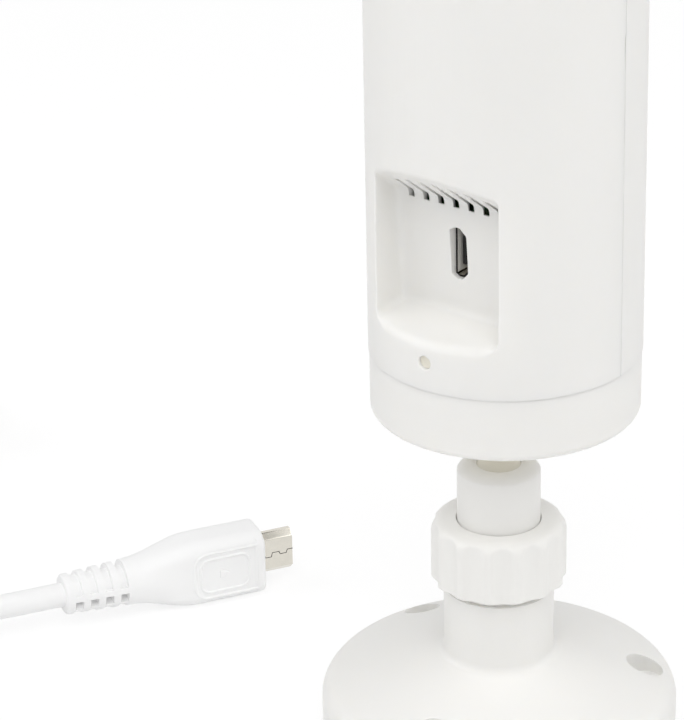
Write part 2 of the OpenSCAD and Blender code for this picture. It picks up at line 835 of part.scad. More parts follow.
// Space of the recess: leaning floor with round corners, sloping ceiling and ledge
module recess_cut() {
    in_y = floor_y - wall;
    out_y = back_y + over;
    reach = out_y - in_y;
    intersection() {
        translate([0, floor_y, port_z]) rotate([-recess_tilt, 0, 0]) translate([0, 0, -shell_h / 2])
            linear_extrude(shell_h) {
                translate([-recess_w / 2, recess_r]) square([recess_w, reach]);
                translate([-recess_w / 2 + recess_r, 0]) square([recess_w - 2 * recess_r, reach]);
                for (x = [-1, 1]) translate([x * (recess_w / 2 - recess_r), recess_r]) circle(recess_r);
            }
        along_x(recess_w) polygon([
            [in_y, ledge_at(in_y)], [out_y, ledge_at(out_y)], [out_y, ceil_at(out_y)],
            [in_y, ceil_at(in_y)]
        ]);
    }
}

// Slots from the recess floor along the ceiling, through the wall and then as grooves towards the edge
module vent_cuts() {
    in_y = crease_y - 2 * wall;
    low_y = crease_y + over;
    low_z = crease_z - vent_drop;
    for (i = [0 : vent_count - 1])
        translate([(i - (vent_count - 1) / 2) * vent_pitch, 0, 0]) {
            along_x(vent_w) polygon([
                [in_y, low_z], [low_y, low_z], [low_y, ceil_at(low_y) - over],
                [vent_out, ceil_at(vent_out) - over], [vent_out, ceil_at(vent_out) + 2 * wall],
                [in_y, crease_z + 2 * wall]
            ]);
            intersection() {
                along_x(vent_w) polygon([
                    [crease_y, crease_z - over], [back_y, ceil_at(back_y) - over],
                    [back_y, ceil_at(back_y) + vent_groove], [crease_y, crease_z + vent_groove]
                ]);
                translate([-(i - (vent_count - 1) / 2) * vent_pitch, body_y, seam_z])
                    cylinder(r = body_r - vent_margin, h = shell_h);
            }
        }
}

module front_shell() {
    color("whitesmoke") difference() {
        union() {
            half_shell(-1);
            at_cap_screws(2, 3) cap_boss();
        }
        intersection() {
            along_y(body_y - body_r - over, body_y) window_outline(fit_gap);
            body_skin(body_r + over, body_r - window_t - fit_gap);
        }
        along_y(body_y - body_r - over, body_y) window_outline(-window_ledge);
        at_cap_screws(2, 3) cap_boss_hole();
        bar_y(0, light_z, light_r + fit_gap, body_y - body_r - over, body_y);
        bar_y(mic_x, light_z, mic_hole_r, body_y - body_r - over, body_y);
    }
}

module top_cap() {
    color("whitesmoke") translate([0, body_y, body_top]) mirror([0, 0, 1]) cap_cup();
}

module front_window() {
    color([0.08, 0.08, 0.09]) difference() {
        intersection() {
            along_y(body_y - body_r - over, body_y) window_outline(0);
            body_skin(body_r, body_r - window_t);
        }
        bar_y(0, lens_z, bezel_r + fit_gap, body_y - body_r - over, body_y);
    }
}

module lens_bezel() {
    front = body_y - body_r - bezel_proud;
    color([0.2, 0.2, 0.21]) difference() {
        bar_y(0, lens_z, bezel_r, front, front + bezel_l);
        bar_y(0, lens_z, bezel_r - bezel_w, front - over, front + bezel_l + over);
    }
}

// Glass with a domed face, seated in the barrel's mouth
module front_lens() {
    crown = body_y - barrel_front + glass_sunk;
    color([0.35, 0.4, 0.5]) intersection() {
        bar_y(0, lens_z, glass_r, crown, crown + glass_l);
        translate([0, crown + glass_curve, lens_z]) sphere(glass_curve);
    }
}

module lens_barrel() {
    front = body_y - barrel_front;
    back = body_y - barrel_back;
    seat = front + glass_sunk + glass_l;
    color([0.15, 0.15, 0.16]) difference() {
        bar_y(0, lens_z, barrel_r, front, back);
        bar_y(0, lens_z, glass_r + fit_gap, front - over, seat);
        bar_y(0, lens_z, barrel_bore, seat - over, back + over);
    }
}

// Block on the board that the barrel screws into, hollow over the sensor
module lens_holder() {
    front = body_y - holder_front;
    half = holder_w / 2;
    pocket = half - pocket_wall;
    pocket_y = board_y - pocket_t;
    color([0.12, 0.12, 0.13]) difference() {
        union() {
            box([-half, board_y - holder_t, lens_z - half], [half, board_y, lens_z + half]);
            bar_y(0, lens_z, barrel_r + holder_wall, front, board_y);
        }
        bar_y(0, lens_z, barrel_r + fit_gap, front - over, body_y - barrel_back);
        bar_y(0, lens_z, barrel_r - holder_wall, front, pocket_y + over);
        box([-pocket, pocket_y, lens_z - pocket], [pocket, board_y + over, lens_z + pocket]);
    }
}

module image_sensor() {
    half = sensor_w / 2;
    color([0.2, 0.22, 0.3])
        box([-half, board_y - sensor_t, lens_z - half], [half, board_y, lens_z + half]);
}

module led_board() {
    face = body_y - holder_front;
    color("darkgreen") difference() {
        bar_y(0, lens_z, led_board_r, face - led_board_t, face);
        bar_y(0, lens_z, barrel_r + free_gap, face - led_board_t - over, face + over);
    }
}

module infrared_leds() {
    face = body_y - holder_front - led_board_t;
    color("black") for (i = [0 : led_count - 1]) {
        a = (i + 0.5) * 360 / led_count;
        translate([led_ring_r * cos(a), 0, lens_z + led_ring_r * sin(a)])
            box([-led_w / 2, face - led_t, -led_w / 2], [led_w / 2, face, led_w / 2]);
    }
}

module main_board() {
    color("darkgreen") difference() {
        box([-board_w / 2, board_y, board_z], [board_w / 2, back_face, board_top]);
        board_bars(board_screw[2] + fit_gap, board_y - over, back_face + over);
    }
}

module board_screws() {
    head_y = board_y - board_screw[1];
    color("silver") {
        board_bars(board_screw[0], head_y, board_y);
        board_bars(board_screw[2], head_y, back_face + board_screw_l);
    }
}

module port_shell() {
    color("silver") translate([0, 0, port_z]) difference() {
        along_y(back_face, port_face) port_outline(port_w + port_out, port_t + port_out, port_chamfer);
        along_y(port_back, port_face + over) port_outline(port_w, port_t, port_chamfer);
    }
}

// Insulator with its contacts, standing in the port
module port_tongue() {
    low = [port_tongue_x - port_tongue_t / 2, port_back, port_z - port_tongue_w / 2];
    color([0.1, 0.1, 0.1])
        box(low, [low[0] + port_tongue_t, port_face - port_tongue_in, low[2] + port_tongue_w]);
}

module reset_switch() {
    tip_y = back_face + switch_t;
    hole_y = tip_y - plunger_in - press_travel - free_gap;
    color([0.12, 0.12, 0.13]) difference() {
        box([-switch_w / 2, back_face, reset_z - switch_w / 4],
            [switch_w / 2, tip_y, reset_z + switch_w / 2]);
        bar_y(0, reset_z, plunger_r + run_gap, hole_y, tip_y + over);
    }
}

module reset_plunger() {
    tip_y = back_face + switch_t;
    color("linen") {
        bar_y(0, reset_z, plunger_r, tip_y - plunger_in, back_y - wall - plunger_room);
        bar_y(0, reset_z, reset_r - run_gap, tip_y, back_y - nib_sunk);
    }
}

module main_chip() {
    half = chip_w / 2;
    color([0.1, 0.1, 0.1])
        box([-half, back_face, chip_z - half], [half, back_face + chip_t, chip_z + half]);
}

module heat_sink() {
    face = back_face + chip_t;
    half = sink_w / 2;
    step = (sink_w - fin_w) / (fin_count - 1);
    color("silver") {
        box([-half, face, chip_z - half], [half, face + sink_base, chip_z + half]);
        for (x = [-half : step : half - fin_w / 2])
            box([x, face, chip_z - half], [x + fin_w, face + sink_h, chip_z + half]);
    }
}

module antenna() {
    ceiling = body_top - cap_floor;
    color("peru")
        box([-antenna_size[0] / 2, antenna_y - antenna_size[1] / 2, ceiling - antenna_size[2]],
            [antenna_size[0] / 2, antenna_y + antenna_size[1] / 2, ceiling]);
}

// Thin lead from the antenna down and forward to the board
module antenna_lead() {
    from_z = body_top - cap_floor - antenna_size[2];
    bend_z = board_top - antenna_drop + antenna_bend;
    bend_y = antenna_y - antenna_bend;
    color("black") {
        translate([0, antenna_y, bend_z]) cylinder(r = antenna_cord_r, h = from_z - bend_z);
        translate([0, bend_y, bend_z]) rotate([0, 90, 0])
            rotate_extrude(angle = 90) translate([antenna_bend, 0]) circle(antenna_cord_r);
        bar_y(0, bend_z - antenna_bend, antenna_cord_r, back_face, bend_y);
    }
}

module status_led() {
    color("white")
        box([-led_size[0] / 2, board_y - led_size[1], light_z - led_size[2] / 2],
            [led_size[0] / 2, board_y, light_z + led_size[2] / 2]);
}

// Clear rod that brings the status light to the front
module light_pipe() {
    color("lightcyan") intersection() {
        bar_y(0, light_z, light_r, body_y - body_r - over, board_y - led_size[1]);
        translate([0, body_y, seam_z]) cylinder(r = body_r, h = shell_h);
    }
}

module microphone() {
    color("silver") bar_y(mic_x, light_z, mic_r, board_y - mic_t, board_y);
}

// Power lead

// Places a plug drawn along +X, with its lead's end at the origin, on the lead's first point
module at_plug() {
    translate(lead_route[0]) rotate(plug_turn) children();
}

// Extrudes a drawing in Y and Z along X from one place to another
module plug_bar(x0, x1) {
    translate([x0, 0, 0]) rotate([90, 0, 90]) linear_extrude(x1 - x0) children();
}

module plug_tip() {
    start = plug_front - tip_sunk;
    inner_w = tip_w - 2 * tip_wall;
    inner_t = tip_t - 2 * tip_wall;
    color("silver") at_plug() difference() {
        plug_bar(start, plug_front + tip_l) port_outline(tip_w, tip_t, port_chamfer);
        plug_bar(start + tip_back, plug_front + tip_l + over)
            port_outline(inner_w, inner_t, port_chamfer - tip_wall);
    }
}

module plug_tongue() {
    start = plug_front - tip_sunk + tip_back;
    low = -tip_t / 2 + 2 * tip_wall;
    color([0.1, 0.1, 0.1]) at_plug()
        box([start, low, -tip_w / 4], [start + tip_l, low + tip_wall, tip_w / 4]);
}

// Grip with its front flange and the raised frame on its broad face, and the ribbed sleeve
module plug_grip() {
    start = sleeve_l + taper_l;
    panel_x = plug_front - flange_l - panel_inset - panel_l / 2;
    rib_step = sleeve_l / rib_count;
    color("white") at_plug() difference() {
        union() {
            plug_bar(start, plug_front) round_rect(grip_t, grip_w, grip_corner);
            plug_bar(plug_front - flange_l, plug_front)
                round_rect(grip_t + 2 * flange_proud, grip_w, grip_corner);
            hull() {
                plug_bar(start - slice, start, $fn = 32) round_rect(grip_t, grip_w, grip_corner);
                plug_bar(sleeve_l, sleeve_l + slice, $fn = 32) circle(rib_r);
            }
            rotate([0, 90, 0]) cylinder(r = sleeve_r, h = sleeve_l);
            for (i = [0 : rib_count - 1])
                translate([(i + 0.5) * rib_step, 0, 0]) rotate([0, 90, 0])
                    cylinder(r = rib_r, h = rib_step / 2);
            translate([panel_x, -grip_t / 2 - panel_proud, 0]) rotate([-90, 0, 0]) linear_extrude(over)
                difference() {
                    round_rect(panel_l, panel_w, panel_r);
                    round_rect(panel_l - 2 * panel_line, panel_w - 2 * panel_line, panel_r - panel_line);
                }
        }
        plug_bar(plug_front - tip_sunk, plug_front + over)
            port_outline(tip_w + 2 * fit_gap, tip_t + 2 * fit_gap, port_chamfer);
    }
}

module lead_cord() {
    color("white") sweep(cord_path, cord_r, cord_sides);
}

module lead_coil() {
    color("white") sweep(coil_path, cord_r, coil_sides);
}

// Band round the coil's turns
module coil_tie() {
    tie_angle = coil_start + 60; // clear of the lead's end
    tie_w = 7;
    room = 0.2;
    low = [coil_in - cord_r - coil_pitch / 2 - room, -tie_w / 2, tie_t];
    high = [coil_out + cord_r + room, tie_w / 2, cord_lift + coil_pitch + cord_r + room];
    color("dimgray") translate([coil_c[0], coil_c[1], 0]) rotate(tie_angle) difference() {
        box(low - [tie_t, 0, tie_t], high + [tie_t, 0, tie_t]);
        box(low - [0, over, 0], high + [0, over, 0]);
    }
}

// Places the second plug, drawn along +X, on the end of the coil
module at_host_plug() {
    translate(tail_to) rotate(tail_turn) children();
}

module host_plug_grip() {
    rib_step = host_sleeve_l / (rib_count - 1);
    color("white") at_host_plug() difference() {
        union() {
            plug_bar(host_sleeve_l, host_front) round_rect(host_w, host_t, grip_corner);
            rotate([0, 90, 0]) cylinder(r = sleeve_r, h = host_sleeve_l + over);
            for (i = [0 : rib_count - 2])
                translate([(i + 0.5) * rib_step, 0, 0]) rotate([0, 90, 0])
                    cylinder(r = rib_r, h = rib_step / 2);
        }
        plug_bar(host_front - host_sunk, host_front + over)
            square([host_tip[1] + 2 * fit_gap, host_tip[2] + 2 * fit_gap], center = true);
    }
}

module host_plug_tip() {
    start = host_front - host_sunk;
    end = host_front + host_tip[0];
    color("silver") at_host_plug() difference() {
        plug_bar(start, end) square([host_tip[1], host_tip[2]], center = true);
        plug_bar(start + tip_back, end + over)
            square([host_tip[1] - 2 * host_wall, host_tip[2] - 2 * host_wall], center = true);
    }
}

module host_plug_tongue() {
    start = host_front - host_sunk + tip_back;
    half = host_tip[1] / 2 - host_wall - fit_gap;
    low = -host_tip[2] / 2 + host_wall + fit_gap;
    color([0.1, 0.1, 0.1]) at_host_plug()
        box([start, -half, low], [start + host_tip[0], half, host_tongue_top]);
}

base_cover();
base_plate();
base_screws();
foot_pad();
clamp_ring();
clamp_nut();
post();
socket_liner();
ball_stud();
thread_insert();
bottom_cap();
cap_screws();
rear_shell();
front_shell();
top_cap();
front_window();
lens_bezel();
front_lens();
lens_barrel();
lens_holder();
image_sensor();
led_board();
infrared_leds();
main_board();
board_screws();
port_shell();
port_tongue();
reset_switch();
reset_plunger();
main_chip();
heat_sink();
antenna();
antenna_lead();
status_led();
light_pipe();
microphone();
plug_tip();
plug_tongue();
plug_grip();
lead_cord();
lead_coil();
coil_tie();
host_plug_tip();
host_plug_tongue();
host_plug_grip();
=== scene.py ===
"""Dresses a packed network camera, its ball stand and its power lead for rendering.

The file is laid out as an add-on and run as a script. Lengths are metres in the packed model's frame,
where the stand's axis is Z and the camera looks along -Y.
"""

import math

import bmesh
import bpy
import numpy as np
from mathutils import Matrix, Vector


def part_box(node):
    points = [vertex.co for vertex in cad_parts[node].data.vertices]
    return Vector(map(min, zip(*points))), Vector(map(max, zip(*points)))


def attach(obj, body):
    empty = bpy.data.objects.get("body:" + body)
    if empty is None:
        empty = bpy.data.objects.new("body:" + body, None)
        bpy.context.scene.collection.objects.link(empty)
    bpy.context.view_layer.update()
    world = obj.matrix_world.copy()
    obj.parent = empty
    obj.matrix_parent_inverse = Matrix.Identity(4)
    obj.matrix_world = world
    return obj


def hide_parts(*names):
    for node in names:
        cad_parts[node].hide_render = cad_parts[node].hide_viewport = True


bl_info = {
    "name": "Network camera dresser",
    "version": (1, 0, 0),
    "blender": (4, 5, 0),
    "location": "View3D > Sidebar > Network camera",
    "description": "Builds the visible pieces and finishes of a network camera on its stand",
    "category": "Object",
}

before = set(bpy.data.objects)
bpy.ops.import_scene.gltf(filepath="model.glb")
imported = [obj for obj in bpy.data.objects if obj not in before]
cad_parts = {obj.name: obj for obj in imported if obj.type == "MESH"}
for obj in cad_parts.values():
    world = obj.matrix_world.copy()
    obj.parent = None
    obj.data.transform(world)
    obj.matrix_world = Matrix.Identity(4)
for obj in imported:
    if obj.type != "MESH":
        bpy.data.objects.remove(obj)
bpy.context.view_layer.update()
MM = 0.001
TO_FRONT = Matrix.Rotation(math.pi / 2, 4, "X")  # turns what is drawn up along Z to face -Y


def linear(code):
    """Turns an sRGB hex colour to linear, with full opacity."""
    parts = [int(code[i : i + 2], 16) / 255 for i in (0, 2, 4)]
    return tuple(c / 12.92 if c <= 0.04045 else ((c + 0.055) / 1.055) ** 2.4 for c in parts) + (1.0,)


def length(name, description, millimetres):
    """A length that a user may change, given in millimetres."""
    return bpy.props.FloatProperty(
        name=name, description=description, default=millimetres * MM, unit="LENGTH", precision=5
    )


def angle(name, description, degrees):
    """An angle that a user may change, given in degrees."""
    return bpy.props.FloatProperty(
        name=name, description=description, default=math.radians(degrees), unit="ROTATION"
    )


def amount(name, description, value):
    """A plain number that a user may change."""
    return bpy.props.FloatProperty(name=name, description=description, default=value)


def count(name, description, value):
    """A whole number that a user may change."""
    return bpy.props.IntProperty(name=name, description=description, default=value)


def colour(name, description, code):
    """A colour that a user may change, given as sRGB hex."""
    return bpy.props.FloatVectorProperty(
        name=name, description=description, default=linear(code), size=4, subtype="COLOR", min=0, max=1
    )


class BodySizes(bpy.types.PropertyGroup):
    """Sizes of the camera's body."""

    wall: length("Wall", "Thickness of the moulded shells", 1.6)
    seam_edge: length("Seam edge", "Rounding of the shells along their side seams", 0.1)
    seam_gap: length("Seam gap", "How far each shell stops short of the other", 0.035)
    cap_gap: length("Cap gap", "How far each shell stops short of the caps", 0.015)
    cap_edge: length("Cap edge", "Rounding of the shells along the caps", 0.07)
    notch_gap: length("Notch gap", "How much wider the side seam stands open along its notch", 0.2)
    notch_low: length("Notch start", "From the shells' lower edge to that notch", 44.7)
    notch_high: length("Notch end", "From the shells' lower edge to its upper end", 49)
    hole_edge: length("Hole edge", "Rounding round the holes in the shells", 0.12)
    recess_width: length("Recess width", "Width of the port recess at its mouth", 20)
    recess_floor: length("Recess floor", "From the body's axis to the recess floor, at the port", 10.6)
    recess_tilt: angle("Recess tilt", "Lean of the recess floor, outwards at its top", 4)
    recess_corner: length("Recess corner", "Fillet between the recess floor and its side walls", 1.5)
    ledge_corner: length("Ledge corner", "Fillet between the recess floor and its ledge", 1.6)
    mouth_edge: length("Mouth edge", "Rounding of the recess mouth at its sides", 0.3)
    ledge_edge: length("Ledge edge", "Rounding of the ledge's outer edge", 1.3)
    port_height: length("Port height", "From the shells' lower edge to the port's centre", 17.2)
    ledge_below: length("Ledge below", "From the port's centre down to the ledge's outer edge", 10)
    ledge_rise: length("Ledge rise", "How far the ledge rises towards the recess floor", 0.9)
    ceiling_above: length("Ceiling above", "From the port's centre up to the ceiling, over the floor", 7.2)
    ceiling_slope: angle("Ceiling slope", "Slope of the recess ceiling", 37)
    vent_count: count("Vents", "Number of vent slots in the recess ceiling", 7)
    vent_pitch: length("Vent pitch", "Distance from vent to vent", 2.46)
    vent_width: length("Vent width", "Width of a vent slot", 1.0)
    vent_groove: length("Vent groove", "Depth of the groove that runs out from a vent", 0.5)
    vent_drop: length("Vent drop", "How far a vent runs down the recess floor", 0.8)
    vent_reach: length("Vent reach", "Depth of a vent's open part, out from the recess floor", 3.64)
    vent_wall: length("Vent wall", "Thickness that the shell thins to at the vents", 0.8)
    vent_draft: length("Vent draft", "How much further each side of a vent opens inside", 0.3)
    vent_margin: length("Vent margin", "From the end of a vent's groove to the body's skin", 2.2)
    pinhole_radius: length("Pinhole radius", "Radius of the reset pinhole", 1.0)
    pinhole_edge: length("Pinhole edge", "Rounding of the pinhole's rim", 0.2)
    pinhole_height: length("Pinhole height", "From the shells' lower edge to the pinhole", 4.1)
    port_width: length("Port width", "Long side of the port's opening", 7)
    port_depth: length("Port depth", "Short side of the port's opening", 1.9)
    port_wall: length("Port wall", "Thickness of the port's metal shell", 0.25)
    port_chamfer: length("Port chamfer", "Chamfers on one side of the port", 0.9)
    port_room: length("Port room", "Room at the port's long sides in the recess floor", 0.15)
    port_end_room: length("Port end room", "Room at the port's short sides", 0.05)
    window_width: length("Window width", "Width of the front window", 26)
    window_height: length("Window height", "Height of the front window", 36)
    window_corner: length("Window corner", "Corner radius of the front window", 6)
    window_drop: length("Window drop", "From the lens down to the window's centre", 2)
    window_thickness: length("Window thickness", "Thickness of the front window", 1)
    window_room: length("Window room", "Room round the window and the status light", 0.05)
    lens_hole: length("Lens hole", "Radius of the window's hole for the lens ring", 7.65)
    lens_curve: length("Lens curve", "Radius of the front lens's dome", 9)
    ring_slope: length("Ring slope", "Width and depth of the lens ring's inner slope", 1.3)
    lens_height: length("Lens height", "From the shells' lower edge to the lens", 44)
    light_height: length("Light height", "From the shells' lower edge to the status light", 12)
    light_radius: length("Light radius", "Radius of the status light", 1.1)
    mic_offset: length("Microphone offset", "From the status light to the microphone hole", 5.5)
    mic_radius: length("Microphone radius", "Radius of the microphone hole", 0.5)


class StandSizes(bpy.types.PropertyGroup):
    """Sizes of the clamp nut."""

    nut_radius: length("Nut radius", "Radius of the nut over its ridges", 9.6)
    nut_shoulder: length("Nut shoulder", "Radius of the nut's upper edge", 1.8)
    nut_lip: length("Nut lip", "Thickness of the nut over its thread", 1.4)
    nut_bore: length("Nut bore", "Radius of the nut's opening", 6)
    thread_radius: length("Thread radius", "Radius of the room for the thread", 7.3)
    flute_count: count("Flutes", "Number of flutes round the nut", 14)
    flute_depth: length("Flute depth", "Depth of a flute", 0.6)
    flute_chord: length("Flute half width", "Half the width of a flute", 1.85)
    ridge_blend: length("Ridge blend", "Softness of the ridges between flutes", 0.22)


class LeadSizes(bpy.types.PropertyGroup):
    """Sizes of the lead and its plugs."""

    cord_diameter: length("Cord diameter", "Diameter of the lead", 3.8)
    coil_pitch: length("Coil pitch", "Distance from turn to turn", 4.5)
    coil_radius: length("Coil radius", "Radius at the middle of the turns", 21)
    coil_turns: amount("Coil turns", "Turns in each layer", 3.5)
    cord_lift: length("Cord lift", "Height of the coil's lower layer", 2.5)
    tail_rise: length("Tail rise", "How far the end climbs onto the coil", 5.9)
    tail_bend: length("Tail bend", "Radius of the bend before the second plug", 13)
    sleeve_length: length("Sleeve length", "Length of the plug's ribbed sleeve", 11)
    taper_length: length("Taper length", "Length of the plug's taper", 9.5)
    grip_length: length("Grip length", "Length of the plug's straight grip", 11.5)
    grip_width: length("Grip width", "Broad side of the plug's grip", 10.8)
    grip_thickness: length("Grip thickness", "Narrow side of the plug's grip", 7.8)
    grip_corner: length("Grip corner", "Corner radius of the grip", 2.4)
    flange: length("Flange", "How far the grip's flange stands out", 0.25)
    tip_length: length("Tip length", "Visible length of the metal tip", 5.6)
    tip_width: length("Tip width", "Broad side of the metal tip", 6.85)
    tip_thickness: length("Tip thickness", "Narrow side of the metal tip", 1.8)
    tip_wall: length("Tip wall", "Thickness of the tip's metal", 0.25)
    tip_chamfer: length("Tip chamfer", "Chamfers on one side of the tip", 0.9)
    host_sleeve: length("Host sleeve", "Length of the host plug's ribbed sleeve", 9)
    host_taper: length("Host taper", "Length of the host plug's taper", 3.5)
    host_grip: length("Host grip", "Length of the host plug's straight grip", 15.5)
    host_width: length("Host width", "Broad side of the host plug's grip", 15.5)
    host_thickness: length("Host thickness", "Narrow side of the host plug's grip", 7.6)
    host_corner: length("Host corner", "Corner radius of that grip", 2.2)
    host_tip_length: length("Host tip length", "Visible length of the host plug's shell", 12)
    host_tip_width: length("Host tip width", "Broad side of that shell", 12)
    host_tip_thickness: length("Host tip thickness", "Narrow side of that shell", 4.5)
    host_tip_wall: length("Host tip wall", "Thickness of that shell's metal", 0.35)
    tie_width: length("Tie width", "Width of the strap round the coil", 7)
    tie_thickness: length("Tie thickness", "Thickness of that strap", 0.5)


class Colours(bpy.types.PropertyGroup):
    """Base colours of the finishes."""

    body: colour("Body", "Moulded white of the body and foot", "F1F0ED")
    stand: colour("Stand", "Moulded white of the nut and post", "F2F1EE")
    plate: colour("Plate", "Pale grey under the foot", "D8D8D5")
    rubber: colour("Rubber", "Foot pad", "2B2B2C")
    acetal: colour("Acetal", "Ball stud", "EDE9DC")
    lead: colour("Lead", "Overmoulding and jacket of the lead", "FAFAFA")
    window: colour("Window", "Infrared window", "050506")
    bezel: colour("Bezel", "Anodised lens ring", "2A2B2E")
    plastic: colour("Black plastic", "Insulators and lens barrel", "161617")
    nickel: colour("Nickel", "Plated shells of port and plugs", "E0DCD2")
    # Painted highlight: pale tint for the port shell's broad inner wall, which shows lit
    tin: colour("Tin", "Dull plating inside the port", "F6F4EE")
    # Painted shade: near-black tint for the front rim of the port's metal shell
    cut: colour("Cut edge", "Bare edge of the port's stamped shell", "1C1B19")
    steel: colour("Steel", "Zinc plated screws", "C6C7C8")
    brass: colour("Brass", "Threaded insert", "C9A455")
    gold: colour("Gold", "Plated contacts", "D9B866")
    aluminium: colour("Aluminium", "Heat sink", "CFCFD2")
    copper: colour("Copper", "Antenna", "C07A4E")
    board: colour("Board", "Solder mask", "1E5B36")
    glass: colour("Glass", "Lens glass", "E8EEF4")
    sensor: colour("Sensor", "Sensor cover", "141A22")
    clear: colour("Clear", "Light pipe and diodes", "EEF2F2")
    tape: colour("Tape", "Hook tape round the coil", "26272A")


class Studio(bpy.types.PropertyGroup):
    """Place of the camera and strength of the lights."""

    target: bpy.props.FloatVectorProperty(
        name="Target", description="Point that the camera looks at", subtype="XYZ", unit="LENGTH",
        default=(0.027496, 0, 0.050638),
    )
    azimuth: angle("Azimuth", "Turn of the camera round the object", 218.009)
    elevation: angle("Elevation", "Height of the camera over the floor", 24.541)
    roll: angle("Roll", "Tilt of the camera about its own axis", -1.186)
    distance: length("Distance", "From the camera to its target", 500.13)
    lens: amount("Lens", "Focal length in millimetres on a 36 mm sensor", 174.23)
    sky: amount("Sky", "Strength of the even light from all round", 0.36)
    dim: amount("Dim", "Strength of the studio's ceiling as metal and glass mirror it", 0.18)
    key: amount("Key", "Power of the soft lamp above the camera, in watts", 6.2)
    side: amount("Side", "Power of each soft lamp at the sides, in watts", 3.3)


# Forms

SAME = 1e-6  # grid lines closer than this, in metres, are one
TINY = 1e-9  # slack in comparisons
CUT = 0.03 * MM  # from a sharp step to the lines on each side of it
BLOCK_RINGS = (0.66, 0.33)  # rings of faces from a block to its hole, as shares of the way left
EDGE_RINGS = (1.3, 0.95, 0.62, 0.3, 0.1, 0)  # rings of faces over a hole's edge, in radii of its rounding
BEAD = (  # section of a raised line: place across it and height, as shares of its width and height
    (-0.5, -0.5), (-0.5, 0), (-0.34, 0.62), (-0.12, 1), (0.12, 1), (0.34, 0.62), (0.5, 0), (0.5, -0.5),
)
RIM = (0.6, 0.25)  # step halfway round a tube's rim: share of half the wall, and of the rim's depth


class Form:
    """Points and faces of a piece in the making, with the number of each face's finish."""

    def __init__(self, points, faces, finish=0):
        self.points = np.asarray(points, float).reshape(-1, 3)
        self.faces = [tuple(int(i) for i in face) for face in faces]
        self.finishes = [finish] * len(self.faces)

    def __add__(self, other):
        both = Form(np.vstack((self.points, other.points)), self.faces)
        start = len(self.points)
        both.faces += [tuple(start + i for i in face) for face in other.faces]
        both.finishes = self.finishes + other.finishes
        return both

    def placed(self, matrix):
        """The same form, moved by a matrix."""
        rows = np.array(matrix)[:3]
        moved = Form(self.points @ rows[:, :3].T + rows[:, 3], self.faces)
        moved.finishes = list(self.finishes)
        return moved

    def in_finish(self, number):
        """The same form, in another of the piece's finishes."""
        return Form(self.points, self.faces, number)


def ease(share):
    """Runs from 0 to 1 with level ends."""
    share = np.clip(share, 0, 1)
    return share * share * (3 - 2 * share)


def edge_drop(distance, radius):
    """How far a rounded edge lies below its face at a distance from the rim."""
    near = np.clip(1 - np.asarray(distance) / radius, 0, 1)
    return radius * (1 - np.sqrt(1 - near * near))


def distinct(parts, gap=SAME):
    """The values of some lists in order, without those within a gap of the one before."""
    values = np.sort(np.concatenate(parts))
    return values[np.concatenate(([True], np.diff(values) > gap))]


def lines(*spans):
    """Grid lines from (start, end, step) spans, each divided evenly, without near doubles."""
    return distinct([np.linspace(a, b, max(2, math.ceil(abs(b - a) / step) + 1)) for a, b, step in spans])


def rounded(corners, steps=6):
    """Closed outline through (a, b, radius) corners, each turned into an arc."""
    points = []
    for i, (a, b, radius) in enumerate(corners):
        here = np.array((a, b))
        back = np.array(corners[i - 1][:2]) - here
        ahead = np.array(corners[(i + 1) % len(corners)][:2]) - here
        back, ahead = back / np.linalg.norm(back), ahead / np.linalg.norm(ahead)
        half = math.acos(np.clip(back @ ahead, -1, 1)) / 2
        if radius <= 0:
            points.append(here)
            continue
        middle = (back + ahead) / np.linalg.norm(back + ahead)
        centre = here + middle * radius / math.sin(half)
        sweep = math.pi / 2 - half
        side = np.sign(back[0] * ahead[1] - back[1] * ahead[0])
        for turn in np.linspace(-sweep, sweep, steps + 1) * side * -1:
            c, s = math.cos(turn), math.sin(turn)
            spoke = np.array((c * middle[0] - s * middle[1], s * middle[0] + c * middle[1]))
            points.append(centre - radius * spoke)
    return np.array(points)


def round_box(width, height, radius, steps=8):
    """Outline of a rectangle with rounded corners, centred."""
    w, h = width / 2, height / 2
    return rounded([(-w, -h, radius), (w, -h, radius), (w, h, radius), (-w, h, radius)], steps)


def circle(radius, sides=48):
    """Outline of a circle, centred."""
    turns = np.linspace(0, 2 * math.pi, sides, endpoint=False)
    return radius * np.column_stack((np.cos(turns), np.sin(turns)))


def sideways(path, closed=True):
    """Unit directions to the left of a flat path, at its points."""
    ahead = np.roll(path, -1, 0) - path
    behind = np.roll(ahead, 1, 0)
    if not closed:
        ahead[-1], behind[0] = behind[-1], ahead[0]
    along = sum(step / np.linalg.norm(step, axis=1)[:, None] for step in (ahead, behind))
    along /= np.linalg.norm(along, axis=1)[:, None]
    return np.column_stack((-along[:, 1], along[:, 0]))


def inset(outline, distance):
    """Outline moved inwards, for one that runs anticlockwise."""
    return outline + distance * sideways(outline)


def on_outline(outline, directions):
    """Where rays from the origin along some directions meet an outline round it."""
    step = np.roll(outline, -1, 0) - outline
    cross = directions[:, None, 0] * step[None, :, 1] - directions[:, None, 1] * step[None, :, 0]
    cross = np.where(np.abs(cross) < TINY**2, TINY**2, cross)
    reach = (outline[:, 0] * step[:, 1] - outline[:, 1] * step[:, 0])[None] / cross
    share = outline[None, :, 0] * directions[:, None, 1] - outline[None, :, 1] * directions[:, None, 0]
    share = share / cross
    reach = np.where((share >= -TINY) & (share <= 1 + TINY) & (reach > 0), reach, np.inf).min(1)
    return directions * reach[:, None]


def band(near, far):
    """Faces between two closed loops of point numbers."""
    return list(zip(near, np.roll(near, -1), np.roll(far, -1), far))


